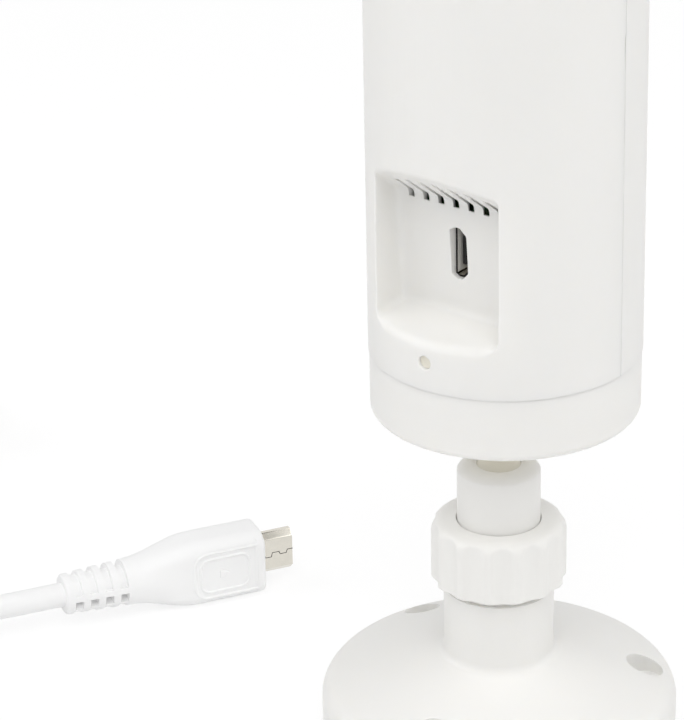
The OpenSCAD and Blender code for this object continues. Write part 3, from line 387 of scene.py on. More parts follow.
def loft(loops, closed=False):
    """Skin over loops of equal count, capped at its ends unless the loops close on themselves."""
    numbers = np.arange(len(loops) * len(loops[0])).reshape(len(loops), -1)
    faces = []
    for near, far in zip(numbers, np.roll(numbers, -1, 0) if closed else numbers[1:]):
        faces += band(near, far)
    if not closed:
        faces += [numbers[0][::-1], numbers[-1]]
    return Form(np.vstack(loops), faces)


def at_height(outline, height):
    """A flat outline, lifted along Z."""
    return np.column_stack((outline, np.full(len(outline), height)))


def prism(outline, low, high, edge):
    """Straight body over an outline from low to high, with its upper edge rounded."""
    loops = [at_height(outline, low)]
    for turn in np.linspace(0, math.pi / 2, 4):
        inwards = edge * (1 - math.cos(turn))
        loops.append(at_height(inset(outline, inwards), high - edge * (1 - math.sin(turn))))
    return loft(loops)


def turned(profile, sides=96):
    """Solid of an open (radius, height) profile, turned about Z and capped at both ends."""
    return loft([at_height(circle(radius, sides), height) for radius, height in profile])


def spun(radius, height, turn):
    """Points at some radii and heights, turned about Z."""
    return np.column_stack((radius * math.cos(turn), radius * math.sin(turn), height))


def ring(profile, sides=128):
    """Ring of a closed (radius, height) profile, turned about Z."""
    turns = np.linspace(0, 2 * math.pi, sides, endpoint=False)
    return loft([spun(profile[:, 0], profile[:, 1], turn) for turn in turns], closed=True)


def bead(path, width, height, closed=True):
    """Low raised line along a flat path, sunk a little below Z = 0."""
    loops = []
    for point, side in zip(path, sideways(path, closed)):
        loops.append(np.array([(*(point + side * width * across), height * up) for across, up in BEAD]))
    return loft(loops, closed)


def tube(outer, inner, back, floor, front, edge):
    """Metal shell along X over outlines in Y and Z, open at the front and closed at the back."""
    rim = (outer + inner) / 2
    outer_step, inner_step = (rim + (side - rim) * RIM[0] for side in (outer, inner))
    step = front - edge * RIM[1]
    loops = [(outer, back), (outer, front - edge), (outer_step, step), (rim, front)]
    loops += [(inner_step, step), (inner, front - edge), (inner, floor)]
    return loft([np.column_stack((np.full(len(outline), x), outline)) for outline, x in loops])


def panel(us, vs, cuts):
    """Grid of lines with holes: flat points, faces, and how far each point drops at a hole's rounded edge.

    A cut is a block (u0, u1, v0, v1) on lines of the grid, an outline inside it and the radius of its edge.
    Rings of faces run from the block to the outline, closing up over the edge. A block with no outline is
    left open.
    """
    columns = len(us)
    flat = np.array([(u, v) for v in vs for u in us])
    drops = [np.zeros(len(flat))]
    kept = np.ones((len(vs) - 1, columns - 1), bool)
    holes = []
    for block, outline, edge in cuts:
        i0, i1 = (int(np.abs(us - bound).argmin()) for bound in block[:2])
        j0, j1 = (int(np.abs(vs - bound).argmin()) for bound in block[2:])
        kept[j0:j1, i0:i1] = False
        if outline is not None:
            rim = [(i, j0) for i in range(i0, i1)] + [(i1, j) for j in range(j0, j1)]
            rim += [(i, j1) for i in range(i1, i0, -1)] + [(i0, j) for j in range(j1, j0, -1)]
            holes.append((np.array([j * columns + i for i, j in rim]), outline, edge))
    corners = [j * columns + i for j, i in zip(*np.nonzero(kept))]
    faces = [(corner, corner + 1, corner + columns + 1, corner + columns) for corner in corners]
    for last, outline, edge in holes:
        centre = (outline.max(0) + outline.min(0)) / 2
        start = flat[last]
        goal = centre + on_outline(outline - centre, start - centre)
        span = np.linalg.norm(start - goal, axis=1)
        steps = [span * k for k in BLOCK_RINGS] + [np.full(len(span), edge * k) for k in EDGE_RINGS]
        for away in steps:
            new = len(flat) + np.arange(len(last))
            flat = np.vstack((flat, goal + (start - goal) * (np.minimum(away, span) / span)[:, None]))
            drops.append(edge_drop(away, edge))
            faces += band(last, new)
            last = new
    used = np.unique(np.concatenate([np.array(face) for face in faces]))
    number = np.full(len(flat), -1)
    number[used] = np.arange(len(used))
    return flat[used], [tuple(number[list(face)]) for face in faces], np.concatenate(drops)[used]


def thick(outer, inner, faces):
    """Closed wall between an outer and an inner skin of the same faces."""
    start = len(outer)
    walls = [tuple(face) for face in faces] + [tuple(start + i for i in face[::-1]) for face in faces]
    sides = {(a, b) for face in faces for a, b in zip(face, face[1:] + face[:1])}
    walls += [(b, a, start + a, start + b) for a, b in sorted(sides) if (b, a) not in sides]
    return Form(np.vstack((outer, inner)), walls)


def add_object(name, data):
    """Puts data into the scene as an object."""
    holder = bpy.data.objects.new(name, data)
    bpy.context.scene.collection.objects.link(holder)
    return holder


def add_piece(name, form, body, node, *slots, crease=38):
    """Makes a form into a piece that rides on a body and stands for a CAD node.

    The numbers of its faces' finishes count through the slots. Edges that bend by more than the crease, in
    degrees, are shaded sharp.
    """
    mesh = bpy.data.meshes.new(name)
    mesh.from_pydata(form.points.tolist(), [], form.faces)
    work = bmesh.new()
    work.from_mesh(mesh)
    bmesh.ops.recalc_face_normals(work, faces=work.faces)
    work.to_mesh(mesh)
    work.free()
    mesh.polygons.foreach_set("material_index", form.finishes)
    mesh.shade_smooth()
    mesh.set_sharp_from_angle(angle=math.radians(crease))
    for slot in slots:
        mesh.materials.append(finish(slot))
    piece = add_object(name, mesh)
    piece.modifiers.new("Even shading", "WEIGHTED_NORMAL").keep_sharp = True
    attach(piece, body)
    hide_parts(node)
    return piece


# Finishes

MIX_FIRST, MIX_SECOND, MIXED = 6, 7, 2  # a mix node's two colour sockets, and its output of their mix


def add_node(tree, kind, settings=None, links=None):
    """Adds a node, sets its properties or sockets by name, and links outputs to its sockets."""
    node = tree.nodes.new(kind)
    for key, value in (settings or {}).items():
        if isinstance(key, str) and hasattr(node, key):
            setattr(node, key, value)
        else:
            node.inputs[key].default_value = value
    for key, output in (links or {}).items():
        tree.links.new(output, node.inputs[key])
    return node


def bare_tree(owner):
    """Empty node tree of a material or a world."""
    owner.use_nodes = True
    owner.node_tree.nodes.clear()
    return owner.node_tree


def new_finish(name, settings):
    """Starts a material: its tree, its shader and the place of each point in metres."""
    material = bpy.data.materials.new(name)
    tree = bare_tree(material)
    shader = add_node(tree, "ShaderNodeBsdfPrincipled", settings)
    add_node(tree, "ShaderNodeOutputMaterial", links={"Surface": shader.outputs[0]})
    place = add_node(tree, "ShaderNodeTexCoord").outputs["Object"]
    return material, tree, shader, place


def shaded(tint, factor):
    """A tint made darker or lighter by a factor."""
    return tuple(min(1, c * factor) for c in tint[:3]) + (1.0,)


def dress(tree, shader, share, tints, height, bump):
    """Colours a surface between two tints by a share, and raises it by a height."""
    colours = {"data_type": "RGBA", MIX_FIRST: tuple(tints[0]), MIX_SECOND: tuple(tints[1])}
    mixed = add_node(tree, "ShaderNodeMix", colours, {0: share})
    tree.links.new(mixed.outputs[MIXED], shader.inputs["Base Color"])
    raised = add_node(tree, "ShaderNodeBump", bump, {"Height": height})
    tree.links.new(raised.outputs["Normal"], shader.inputs["Normal"])


def worked(name, tint, settings, roughness, patch, grain, depth, shade=0.96, stretch=None):
    """Surface whose colour drifts over patches and whose roughness and relief follow a fine grain.

    Patch, grain and depth are real sizes in millimetres, and stretch draws the grain out along axes.
    """
    material, tree, shader, place = new_finish(name, settings)
    clouds = {"Scale": 1 / (patch * MM), "Detail": 3.0, "Roughness": 0.6}
    drift = add_node(tree, "ShaderNodeTexNoise", clouds, {"Vector": place}).outputs["Fac"]
    if stretch:
        place = add_node(tree, "ShaderNodeMapping", {"Scale": stretch}, {"Vector": place}).outputs["Vector"]
    grit = {"Scale": 1 / (grain * MM), "Detail": 2.0, "Roughness": 0.5}
    fine = add_node(tree, "ShaderNodeTexNoise", grit, {"Vector": place}).outputs["Fac"]
    levels = {"To Min": roughness[0], "To Max": roughness[1]}
    rough = add_node(tree, "ShaderNodeMapRange", levels, {"Value": fine})
    tree.links.new(rough.outputs["Result"], shader.inputs["Roughness"])
    dress(tree, shader, drift, (shaded(tint, shade), tint), fine, {"Distance": depth * MM})
    return material


def moulded_abs(tints):
    # Moulded ABS from a spark-eroded tool: a soft satin sheen over a fine grain, a real 0.1 mm drawn
    # at 0.35 mm so that it shows at this distance.
    # Light sinks in by a millimetre or two, which softens the edges and the shade in small holes.
    settings = {"IOR": 1.54, "Subsurface Weight": 0.3, "Subsurface Radius": (1.0, 0.95, 0.85)}
    settings["Subsurface Scale"] = 2 * MM
    return worked("Moulded ABS", tints.body, settings, (0.40, 0.52), 14, 0.35, 0.004, 0.975)


def moulded_nylon(tints):
    # Moulded nylon: a little glossier than ABS, with a smooth polished-tool face.
    return worked("Moulded nylon", tints.stand, {"IOR": 1.53}, (0.34, 0.44), 11, 0.45, 0.003, 0.975)


def textured_abs(tints):
    # Moulded ABS from an etched tool: flat pale grey, coarse grain with little sheen.
    return worked("Etched ABS", tints.plate, {"IOR": 1.54}, (0.55, 0.7), 10, 0.5, 0.02, 0.95)


def moulded_rubber(tints):
    # Moulded silicone rubber: dark and matte, with a dusty bloom in patches.
    return worked("Moulded rubber", tints.rubber, {"IOR": 1.42}, (0.7, 0.9), 5, 0.4, 0.02, 0.7)


def turned_acetal(tints):
    # Turned acetal: waxy white with fine rings from the lathe tool.
    rings = (0.15, 0.15, 1)
    return worked("Turned acetal", tints.acetal, {"IOR": 1.48}, (0.3, 0.45), 4, 0.3, 0.004, 0.96, rings)


def zinc_steel(tints):
    # Zinc plated steel: bright grey with a clouded, slightly uneven plating.
    return worked("Zinc plated steel", tints.steel, {"Metallic": 1.0}, (0.24, 0.42), 1.2, 0.25, 0.004, 0.82)


def nickel_plate(tints):
    # Stamped steel with bright nickel: warm mirror with faint drawing marks along the stamping.
    settings, marks = {"Metallic": 1.0}, (1, 1, 0.2)
    return worked("Nickel plated steel", tints.nickel, settings, (0.08, 0.18), 1.5, 0.22, 0.001, 0.9, marks)


def lit_wall_plating(tints):
    # Paler, matte copy of the port's plating on its one broad inner wall, a painted highlight: grainy silver
    # grey that scatters lamp light, with bright flecks.
    return worked("Tumbled tin plate", tints.tin, {"Metallic": 0.05}, (0.35, 0.6), 0.4, 0.16, 0.01, 0.75)


def painted_shade_rim(tints):
    # Painted shade on the front rim of the port's stamped shell: near black and dull.
    settings = {"Metallic": 0.1, "Specular IOR Level": 0.2}
    return worked("Sheared steel edge", tints.cut, settings, (0.6, 0.8), 1, 0.2, 0.004, 0.8)


def turned_brass(tints):
    # Turned brass: yellow metal with tool rings round its axis.
    rings = (0.2, 0.2, 1)
    return worked("Turned brass", tints.brass, {"Metallic": 1.0}, (0.2, 0.38), 2, 0.2, 0.004, 0.85, rings)


def gold_contacts(tints):
    # Flash gold over nickel: pale yellow, very smooth.
    return worked("Gold plated contacts", tints.gold, {"Metallic": 1.0}, (0.15, 0.25), 0.8, 0.2, 0.001, 0.9)


def polished_acrylic(tints):
    # Polished dark acrylic that only passes infrared: near black with a clean mirror sheen.
    settings = {"IOR": 1.49, "Coat Weight": 0.6, "Coat Roughness": 0.02}
    return worked("Polished acrylic", tints.window, settings, (0.03, 0.08), 20, 1.5, 0.0006, 0.8)


def anodised_ring(tints):
    # Blasted and anodised aluminium: dark grey satin with a metallic edge light.
    settings = {"Metallic": 0.9}
    return worked("Anodised aluminium ring", tints.bezel, settings, (0.32, 0.46), 2, 0.15, 0.004, 0.85)


def filled_plastic(tints):
    # Glass-filled moulded plastic: black, dry sheen, with short fibre streaks.
    settings = {"IOR": 1.55, "Specular IOR Level": 0.25}
    return worked("Glass-filled plastic", tints.plastic, settings, (0.42, 0.6), 2, 0.25, 0.006, 0.75)


def anodised_sink(tints):
    # Extruded aluminium, clear anodised: pale satin metal with lines along the fins.
    settings, fin_lines = {"Metallic": 1.0}, (1, 1, 0.1)
    return worked("Anodised extrusion", tints.aluminium, settings, (0.3, 0.45), 3, 0.2, 0.004, 0.9, fin_lines)


def plated_copper(tints):
    # Etched copper film: pink-brown metal, slightly clouded by handling.
    return worked("Etched copper film", tints.copper, {"Metallic": 1.0}, (0.28, 0.5), 3, 0.4, 0.002, 0.8)


def coated_glass(tints):
    # Polished and coated optical glass: clear, with the blue-violet cast of its coating.
    settings = {"IOR": 1.52, "Transmission Weight": 1.0, "Thin Film Thickness": 420.0, "Thin Film IOR": 1.38}
    return worked("Coated optical glass", tints.glass, settings, (0.0, 0.03), 6, 2.0, 0.0002, 0.97)


def sensor_cover(tints):
    # Polished cover glass over silicon: dark blue-grey mirror.
    settings = {"IOR": 1.5, "Coat Weight": 0.8}
    return worked("Sensor cover glass", tints.sensor, settings, (0.05, 0.12), 2, 0.5, 0.0005, 0.7)


def clear_moulding(tints):
    # Clear moulded polycarbonate: transparent with soft flow lines inside.
    settings = {"IOR": 1.58, "Transmission Weight": 0.85}
    return worked("Clear polycarbonate", tints.clear, settings, (0.06, 0.16), 2, 0.6, 0.001, 0.96)


def soft_jacket(tints):
    # Moulded thermoplastic elastomer: bright neutral white with a dry, slightly dusty sheen.
    return worked("Moulded elastomer", tints.lead, {"IOR": 1.5}, (0.44, 0.58), 9, 0.4, 0.003, 0.985)


def solder_mask(tints):
    # Etched board under solder mask: green gloss that shows lighter over areas of copper, about 2.4 mm wide.
    settings = {"IOR": 1.52, "Coat Weight": 0.3, "Roughness": 0.35}
    material, tree, shader, place = new_finish("Solder mask", settings)
    areas = {"distance": "MANHATTAN", "Scale": 1 / (2.4 * MM)}
    spots = add_node(tree, "ShaderNodeTexVoronoi", areas, {"Vector": place}).outputs["Position"]
    spread = {"Scale": 1 / (12 * MM), "Distortion": 3.0}
    copper = add_node(tree, "ShaderNodeTexWave", spread, {"Vector": spots}).outputs["Fac"]
    dress(tree, shader, copper, (tints.board, shaded(tints.board, 1.7)), copper, {"Distance": 0.03 * MM})
    return material


def hook_tape(tints):
    # Woven hook tape: charcoal ground with rows of small hooks, a real 0.8 mm apart, and a dry fuzz.
    settings = {"Sheen Weight": 0.35, "Sheen Roughness": 0.5, "Roughness": 0.85, "IOR": 1.5}
    material, tree, shader, place = new_finish("Woven hook tape", settings)
    rows = {"Scale": 1 / (0.8 * MM), "Randomness": 0.35}
    hooks = add_node(tree, "ShaderNodeTexVoronoi", rows, {"Vector": place}).outputs["Distance"]
    bump = {"Distance": 0.2 * MM, "invert": True}
    dress(tree, shader, hooks, (shaded(tints.tape, 2.6), tints.tape), hooks, bump)
    return material


FINISHES = {
    "white_abs": moulded_abs,
    "white_nylon": moulded_nylon,
    "grey_abs": textured_abs,
    "foot_rubber": moulded_rubber,
    "white_acetal": turned_acetal,
    "plated_steel": zinc_steel,
    "nickel_shell": nickel_plate,
    "insert_brass": turned_brass,
    "window_acrylic": polished_acrylic,
    "bezel_metal": anodised_ring,
    "lens_glass": coated_glass,
    "black_plastic": filled_plastic,
    "sensor_glass": sensor_cover,
    "board_green": solder_mask,
    "sink_aluminium": anodised_sink,
    "antenna_copper": plated_copper,
    "clear_plastic": clear_moulding,
    "lead_white": soft_jacket,
    "tie_black": hook_tape,
    "gold": gold_contacts,
    "tin": lit_wall_plating,
    "cut": painted_shade_rim,
}
made_finishes = {}


def finish(slot):
    """The material of a slot, made when it is first asked for."""
    if slot not in made_finishes:
        made_finishes[slot] = FINISHES[slot](bpy.context.scene.netcam_colours)
    return made_finishes[slot]


# Lead

LEAD_ROUTE = [  # from the plug's sleeve to the coil, in millimetres
    (71, 15, 5.4), (72.5, 17.6, 5.4), (74, 20.2, 5.4), (76, 23.06, 5.3), (78.46, 25.52, 5),
    (81.32, 27.52, 4.6), (84.48, 28.99, 4.2), (87.85, 29.9, 3.8), (91.32, 30.2, 3.4), (97, 30.2, 3.1),
    (103, 30.2, 2.8), (109, 30.2, 2.6), (115, 30.2, 2.5), (121, 30.2, 2.5), (128, 30.2, 2.5),
    (135, 30.2, 2.5), (142.2, 30.2, 2.5),
]
COIL_STEP = 15  # degrees from point to point in the coil and in the bend after it
LAYER_CLIMB = 180  # degrees over which the lead climbs to the coil's upper layer
TAIL_CLIMB = 90  # degrees over which its end climbs onto the coil
TAIL_SWEEP = 75  # degrees of the end's bend across the coil
TIE_TURN = 150  # place of the strap round the coil, in degrees
STRAP_ROOM = 0.2 * MM  # between the strap and the coil
STRAP_SECTION = (  # place through the strap and across it, as shares of its thickness and of half its width
    (0, -0.985), (0.12, -1), (0.88, -1), (1, -0.985), (1, 0.985), (0.88, 1), (0.12, 1), (0, 0.985),
)


def heading(turn):
    """Level direction at an angle in degrees."""
    return np.array((math.cos(math.radians(turn)), math.sin(math.radians(turn)), 0.0))


def lead_path(sizes):
    """Points of the whole lead, the coil's centre and radii, and the place and turn of both plugs."""
    route = np.array(LEAD_ROUTE) * MM
    first, last = route[0] - route[1], route[-1] - route[-2]
    plug_turn = math.degrees(math.atan2(first[1], first[0]))
    end_turn = math.degrees(math.atan2(last[1], last[0]))
    spread = sizes.coil_pitch * sizes.coil_turns / 2
    outer, inner = sizes.coil_radius + spread, sizes.coil_radius - spread
    start = end_turn + 90
    lead_in = route[-1] + sizes.cord_diameter * heading(end_turn)
    centre = lead_in - outer * heading(start)
    back = 360 * sizes.coil_turns
    end = 2 * back

    def coil_point(a):
        if a < back:
            radius = outer - sizes.coil_pitch * a / 360
        else:
            radius = inner + sizes.coil_pitch * (min(a, end) - back) / 360
        layer = sizes.coil_pitch * ease((a - back + LAYER_CLIMB / 2) / LAYER_CLIMB)
        rise = layer + sizes.tail_rise * ease((a - end) / TAIL_CLIMB)
        spot = centre + radius * heading(start - a)
        return np.array((spot[0], spot[1], sizes.cord_lift + rise))

    coil = [coil_point(a) for a in np.arange(0, end + TAIL_CLIMB + 1, COIL_STEP)]
    bend_turn = start - end - TAIL_CLIMB
    bend_centre = coil[-1] - sizes.tail_bend * heading(bend_turn)
    sweep = range(COIL_STEP, TAIL_SWEEP + 1, COIL_STEP)
    bend = [bend_centre + sizes.tail_bend * heading(bend_turn - a) for a in sweep]
    tail_turn = bend_turn - TAIL_SWEEP - 90
    tail = bend[-1] + sizes.cord_diameter * heading(tail_turn)
    return {
        "points": np.array([*route, *coil, *bend, tail]), "centre": centre, "inner": inner, "outer": outer,
        "plug_turn": plug_turn, "tail": tail, "tail_turn": tail_turn,
    }


def at_plug(place, turn):
    """Matrix of a plug that is drawn along X from its lead's end."""
    return Matrix.Translation(Vector(place)) @ Matrix.Rotation(math.radians(turn), 4, "Z")


class NETCAM_OT_lead(bpy.types.Operator):
    """Lays the power lead from the plug to its coil"""

    bl_idname = "netcam.lead"
    bl_label = "Power lead"

    def execute(self, context):
        sizes = context.scene.netcam_lead
        path = lead_path(sizes)
        curve = bpy.data.curves.new("power_lead", "CURVE")
        curve.dimensions = "3D"
        curve.bevel_depth = sizes.cord_diameter / 2
        curve.bevel_resolution = 5
        curve.resolution_u = 4
        curve.use_fill_caps = True
        spline = curve.splines.new("BEZIER")
        spline.bezier_points.add(len(path["points"]) - 1)
        for knot, point in zip(spline.bezier_points, path["points"]):
            knot.co = point
            knot.handle_left_type = knot.handle_right_type = "AUTO"
        lead = add_object("power_lead", curve)
        curve.materials.append(finish("lead_white"))
        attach(lead, "stand")
        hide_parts("lead_cord", "lead_coil")
        strap = add_piece("coil_strap", strap_form(sizes, path), "stand", "coil_tie", "tie_black")
        far = add_host_plug(sizes, path)
        return {"FINISHED"}


def strap_form(sizes, path):
    """Strap pulled round the coil's turns."""
    half = sizes.cord_diameter / 2
    low = np.array((path["inner"] - half - sizes.coil_pitch / 2 - STRAP_ROOM, sizes.tie_thickness))
    top = sizes.cord_lift + sizes.coil_pitch + half + STRAP_ROOM
    high = np.array((path["outer"] + half + STRAP_ROOM, top))
    inside = round_box(*(high - low), half + STRAP_ROOM) + (high + low) / 2
    loops = []
    for inner, outer in zip(inside, inset(inside, -sizes.tie_thickness)):
        spots = [(*(inner + (outer - inner) * deep), across) for deep, across in STRAP_SECTION]
        loops.append(np.array([(out, across * sizes.tie_width / 2, up) for out, up, across in spots]))
    centre = path["centre"]
    return loft(loops, closed=True).placed(at_plug((centre[0], centre[1], 0), TIE_TURN))


# Plugs

SLEEVE_RADIUS = 3.15 * MM  # of a ribbed sleeve at its end
SLEEVE_FLARE = 0.5 * MM  # how much wider it gets towards the grip
SLEEVE_EDGE = 0.5 * MM  # rounding of its end
FIRST_RIB, LAST_RIB = 1.2 * MM, 0.2 * MM  # from its end to the first gap, and from the last rib to the taper
GAP_SHARE = 0.52  # share of the distance from rib to rib that is gap
SLEEVE_WINDOWS = (  # parts of a gap: degrees up from the broad face, from and to, and the radius left, in mm
    (13, 167, 2.75), (-30, -4, 2.05), (184, 210, 2.05), (-137, -43, 2.75),
)
WINDOW_EDGE = 0.7  # degrees from a window's side to the lines beside it
SLEEVE_START = -150  # turn in degrees at which an overmoulding's outlines start
NEAR_TURN = 0.3  # degrees within which two of their points are one
TAPER_START = 0.93  # where the taper starts to swell, as a share of the sleeve
TAPER_PAST = 0.6 * MM  # how far the taper runs on into the grip
TAPER_STEP, GRIP_STEP = 0.52 * MM, 1.55 * MM  # longest steps along the taper and the grip
GRIP_END = 2 * MM  # from the front to the end of the grip's even steps
FLANGE_BACK, FLANGE_RUN = 1.62 * MM, 0.25 * MM  # from the front to the flange, and the length of its step
FLANGE_SPREAD = 0.6  # the flange stands out where the direction's part along Y is more than this
FRONT_EDGE = 0.7 * MM  # rounding of the front
FRONT_STATIONS = (1.62, 1.55, 1.47, 1.4, 1.33, 1.0, 0.7, 0.55, 0.4, 0.27, 0.15, 0.06, 0)  # mm back from it
TIP_SUNK = 1 * MM  # how far a metal tip's floor lies behind the grip's front, and its back behind that
CONTACT_EDGE = 0.02 * MM  # rounding of a gold contact


def rib_gaps(sleeve_length, number):
    """Where the gaps between a sleeve's ribs start and end."""
    step = (sleeve_length - FIRST_RIB - LAST_RIB) / number
    starts = [FIRST_RIB + k * step for k in range(number)]
    return [(start, start + GAP_SHARE * step) for start in starts]


def sleeve_reach(x, turns, sleeve_length, gaps):
    """Radius of the ribbed sleeve at a place along it, for angles in degrees up from its broad face."""
    reach = np.full(len(turns), SLEEVE_RADIUS + SLEEVE_FLARE * min(x / sleeve_length, 1))
    reach -= edge_drop(x, SLEEVE_EDGE)
    if any(start <= x <= end for start, end in gaps):
        for low, high, left in SLEEVE_WINDOWS:
            reach[(turns >= low) & (turns <= high)] = left * MM
    return reach


def overmould(sleeve_length, taper_end, front, grip, gap_count, flange=0.0):
    """Moulded plug body along X: ribbed sleeve, soft taper, grip of an outline in Y and Z, rounded front."""
    gaps = rib_gaps(sleeve_length, gap_count)
    stations = [SLEEVE_EDGE * k for k in (0, 0.08, 0.24, 0.5, 1)]
    stations += [edge + off for gap in gaps for edge in gap for off in (-CUT, CUT)]
    spans = (sleeve_length, taper_end, TAPER_STEP), (taper_end, front - GRIP_END, GRIP_STEP)
    stations += list(lines(*spans))
    stations += [front - back * MM for back in FRONT_STATIONS]
    bounds = [bound for low, high, _ in SLEEVE_WINDOWS for bound in (low, high)]
    beside = [bound + off for bound in bounds for off in (-WINDOW_EDGE, WINDOW_EDGE)]
    last = SLEEVE_START + 360
    turns = distinct((np.linspace(SLEEVE_START, last, 72, endpoint=False), beside), NEAR_TURN)
    turns = turns[turns < last - NEAR_TURN]
    around = np.radians(180 - turns)
    rays = np.column_stack((np.cos(around), np.sin(around)))
    broad = np.abs(rays[:, 0]) > FLANGE_SPREAD
    box = np.linalg.norm(on_outline(grip, rays), axis=1)
    swell = TAPER_START * sleeve_length
    loops = []
    for x in np.unique(np.round(stations, 7)):
        sleeve = sleeve_reach(x, turns, sleeve_length, gaps)
        share = float(ease((x - swell) / (taper_end + TAPER_PAST - swell)))
        lip = flange * float(ease((x - (front - FLANGE_BACK)) / FLANGE_RUN))
        reach = sleeve + (box - sleeve) * share + lip * broad - edge_drop(front - x, FRONT_EDGE)
        loops.append(np.column_stack((np.full(len(rays), x), rays * reach[:, None])))
    return loft(loops)


def with_contacts(tongue, size, corner, low, high, along, places):
    """A tongue with gold contacts from low to high, at one place along X and some places in Y."""
    strip = prism(round_box(*size, corner, 3), low, high, CONTACT_EDGE).in_finish(1)
    for place in places:
        tongue += strip.placed(Matrix.Translation((along, place, 0)))
    return tongue


def with_latches(metal, along, apart, thickness):
    """The host plug's shell with two latch holes in each broad face, drawn as thin dark patches: painted
    shade in place of the open holes.
    """
    side, corner = 2.4 * MM, 0.2 * MM
    sunk, proud, edge = 0.02 * MM, 0.012 * MM, 0.004 * MM
    patch = prism(round_box(side, side, corner, 3), -sunk, proud, edge).in_finish(1)
    for face, turn in ((-1, math.pi), (1, 0)):
        for y in (-apart / 2, apart / 2):
            to_face = Matrix.Translation((along, y, face * thickness / 2))
            metal += patch.placed(to_face @ Matrix.Rotation(turn, 4, "X"))
    return metal


def add_host_plug(sizes, path):
    """The flat plug at the lead's far end: moulded grip, metal shell and insulator."""
    place = at_plug(path["tail"], path["tail_turn"])
    taper_end = sizes.host_sleeve + sizes.host_taper
    front = taper_end + sizes.host_grip
    outline = round_box(sizes.host_width, sizes.host_thickness, sizes.host_corner)
    grip = overmould(sizes.host_sleeve, taper_end, front, outline, 3)
    body = add_piece("far_plug_grip", grip.placed(place), "stand", "host_plug_grip", "lead_white")

    wide, thin, wall = sizes.host_tip_width, sizes.host_tip_thickness, sizes.host_tip_wall
    outer_corner, inner_corner, rim = 0.5 * MM, 0.25 * MM, 0.2 * MM
    outer = round_box(wide, thin, outer_corner, 4)
    inner = round_box(wide - 2 * wall, thin - 2 * wall, inner_corner, 4)
    floor = front - TIP_SUNK
    metal = tube(outer, inner, floor - TIP_SUNK, floor, front + sizes.host_tip_length, rim)
    latch_along, latch_apart = front + 6.5 * MM, 5.6 * MM
    metal = with_latches(metal, latch_along, latch_apart, thin)
    shell = add_piece(
        "far_plug_shell", metal.placed(place), "stand", "host_plug_tip", "nickel_shell", "black_plastic"
    )

    deep, across, corner = 12 * MM, 11.2 * MM, 0.15 * MM
    bottom, top, edge = -1.85 * MM, -0.3 * MM, 0.12 * MM
    tongue = prism(round_box(deep, across, corner, 3), bottom, top, edge)
    bar, bar_corner, sunk, proud, along = (8 * MM, 1.2 * MM), 0.1 * MM, 0.1 * MM, 0.03 * MM, 1.4 * MM
    places = np.array((-3.5, -1.2, 1.2, 3.5)) * MM
    tongue = with_contacts(tongue, bar, bar_corner, top - sunk, top + proud, along, places)
    tongue = tongue.placed(place @ Matrix.Translation((floor + deep / 2, 0, 0)))
    core = add_piece("far_plug_core", tongue, "stand", "host_plug_tongue", "black_plastic", "gold")
    return [body, shell, core]


def port_outline(width, depth, chamfer, side, rounding):
    """Outline in Y and Z of the port or its plug, chamfered on one side."""
    d, w, c = depth / 2, width / 2, chamfer
    corners = [(-d, -w), (d - c, -w), (d, c - w), (d, w - c), (d - c, w), (-d, w)]
    if side < 0:
        corners = [(-y, z) for y, z in corners[::-1]]
    return rounded([(y, z, rounding) for y, z in corners], 4)


def face_relief():
    """Raised lines and mark of the plug's broad face: a closed loop, an open one round it, and a triangle."""
    width, height, corner = 8.0 * MM, 5.6 * MM, 1.5 * MM
    line, rise = 0.55 * MM, 0.2 * MM
    inner = bead(round_box(width, height, corner), line, rise)
    half, side, corner = 9.9 * MM / 2, 7.5 * MM / 2, 2.1 * MM
    line, rise, open_end = 0.5 * MM, 0.16 * MM, half + 0.5 * MM
    corners = [(-half, -side, corner), (open_end, -side, 0), (open_end, side, 0), (-half, side, corner)]
    loop = rounded(corners, 8)
    start = len(loop) - 1 - int(np.argmax(loop[::-1, 0] > half))
    outer = bead(np.roll(loop, -start, 0), line, rise, closed=False)
    tip, foot, corner = 0.9 * MM, 0.8 * MM, 0.2 * MM
    triangle = rounded([(-tip, -foot, corner), (tip, 0, corner), (-tip, foot, corner)], 4)
    sunk, proud, edge = 0.2 * MM, 0.14 * MM, 0.08 * MM
    return inner + outer + prism(triangle, -sunk, proud, edge)


def tip_seam(reach):
    """Dovetailed seam of the folded metal tip, a fine dark line on its broad face: painted shade of the
    seam's gap, drawn as a thin raised strip in the black finish.
    """
    corners = np.array(  # along the tip and across it, in millimetres
        [(0, -0.1), (0.9, -0.1), (1.1, -0.55), (2.0, -0.55), (2.2, 0.15), (3.3, 0.15), (3.5, -0.3),
         (4.5, -0.3), (4.7, 0.25), (5.6, 0.25)]
    )
    line, rise = 0.14 * MM, 0.012 * MM
    return bead(corners * MM * (reach / (corners[-1, 0] * MM), 1), line, rise, closed=False)


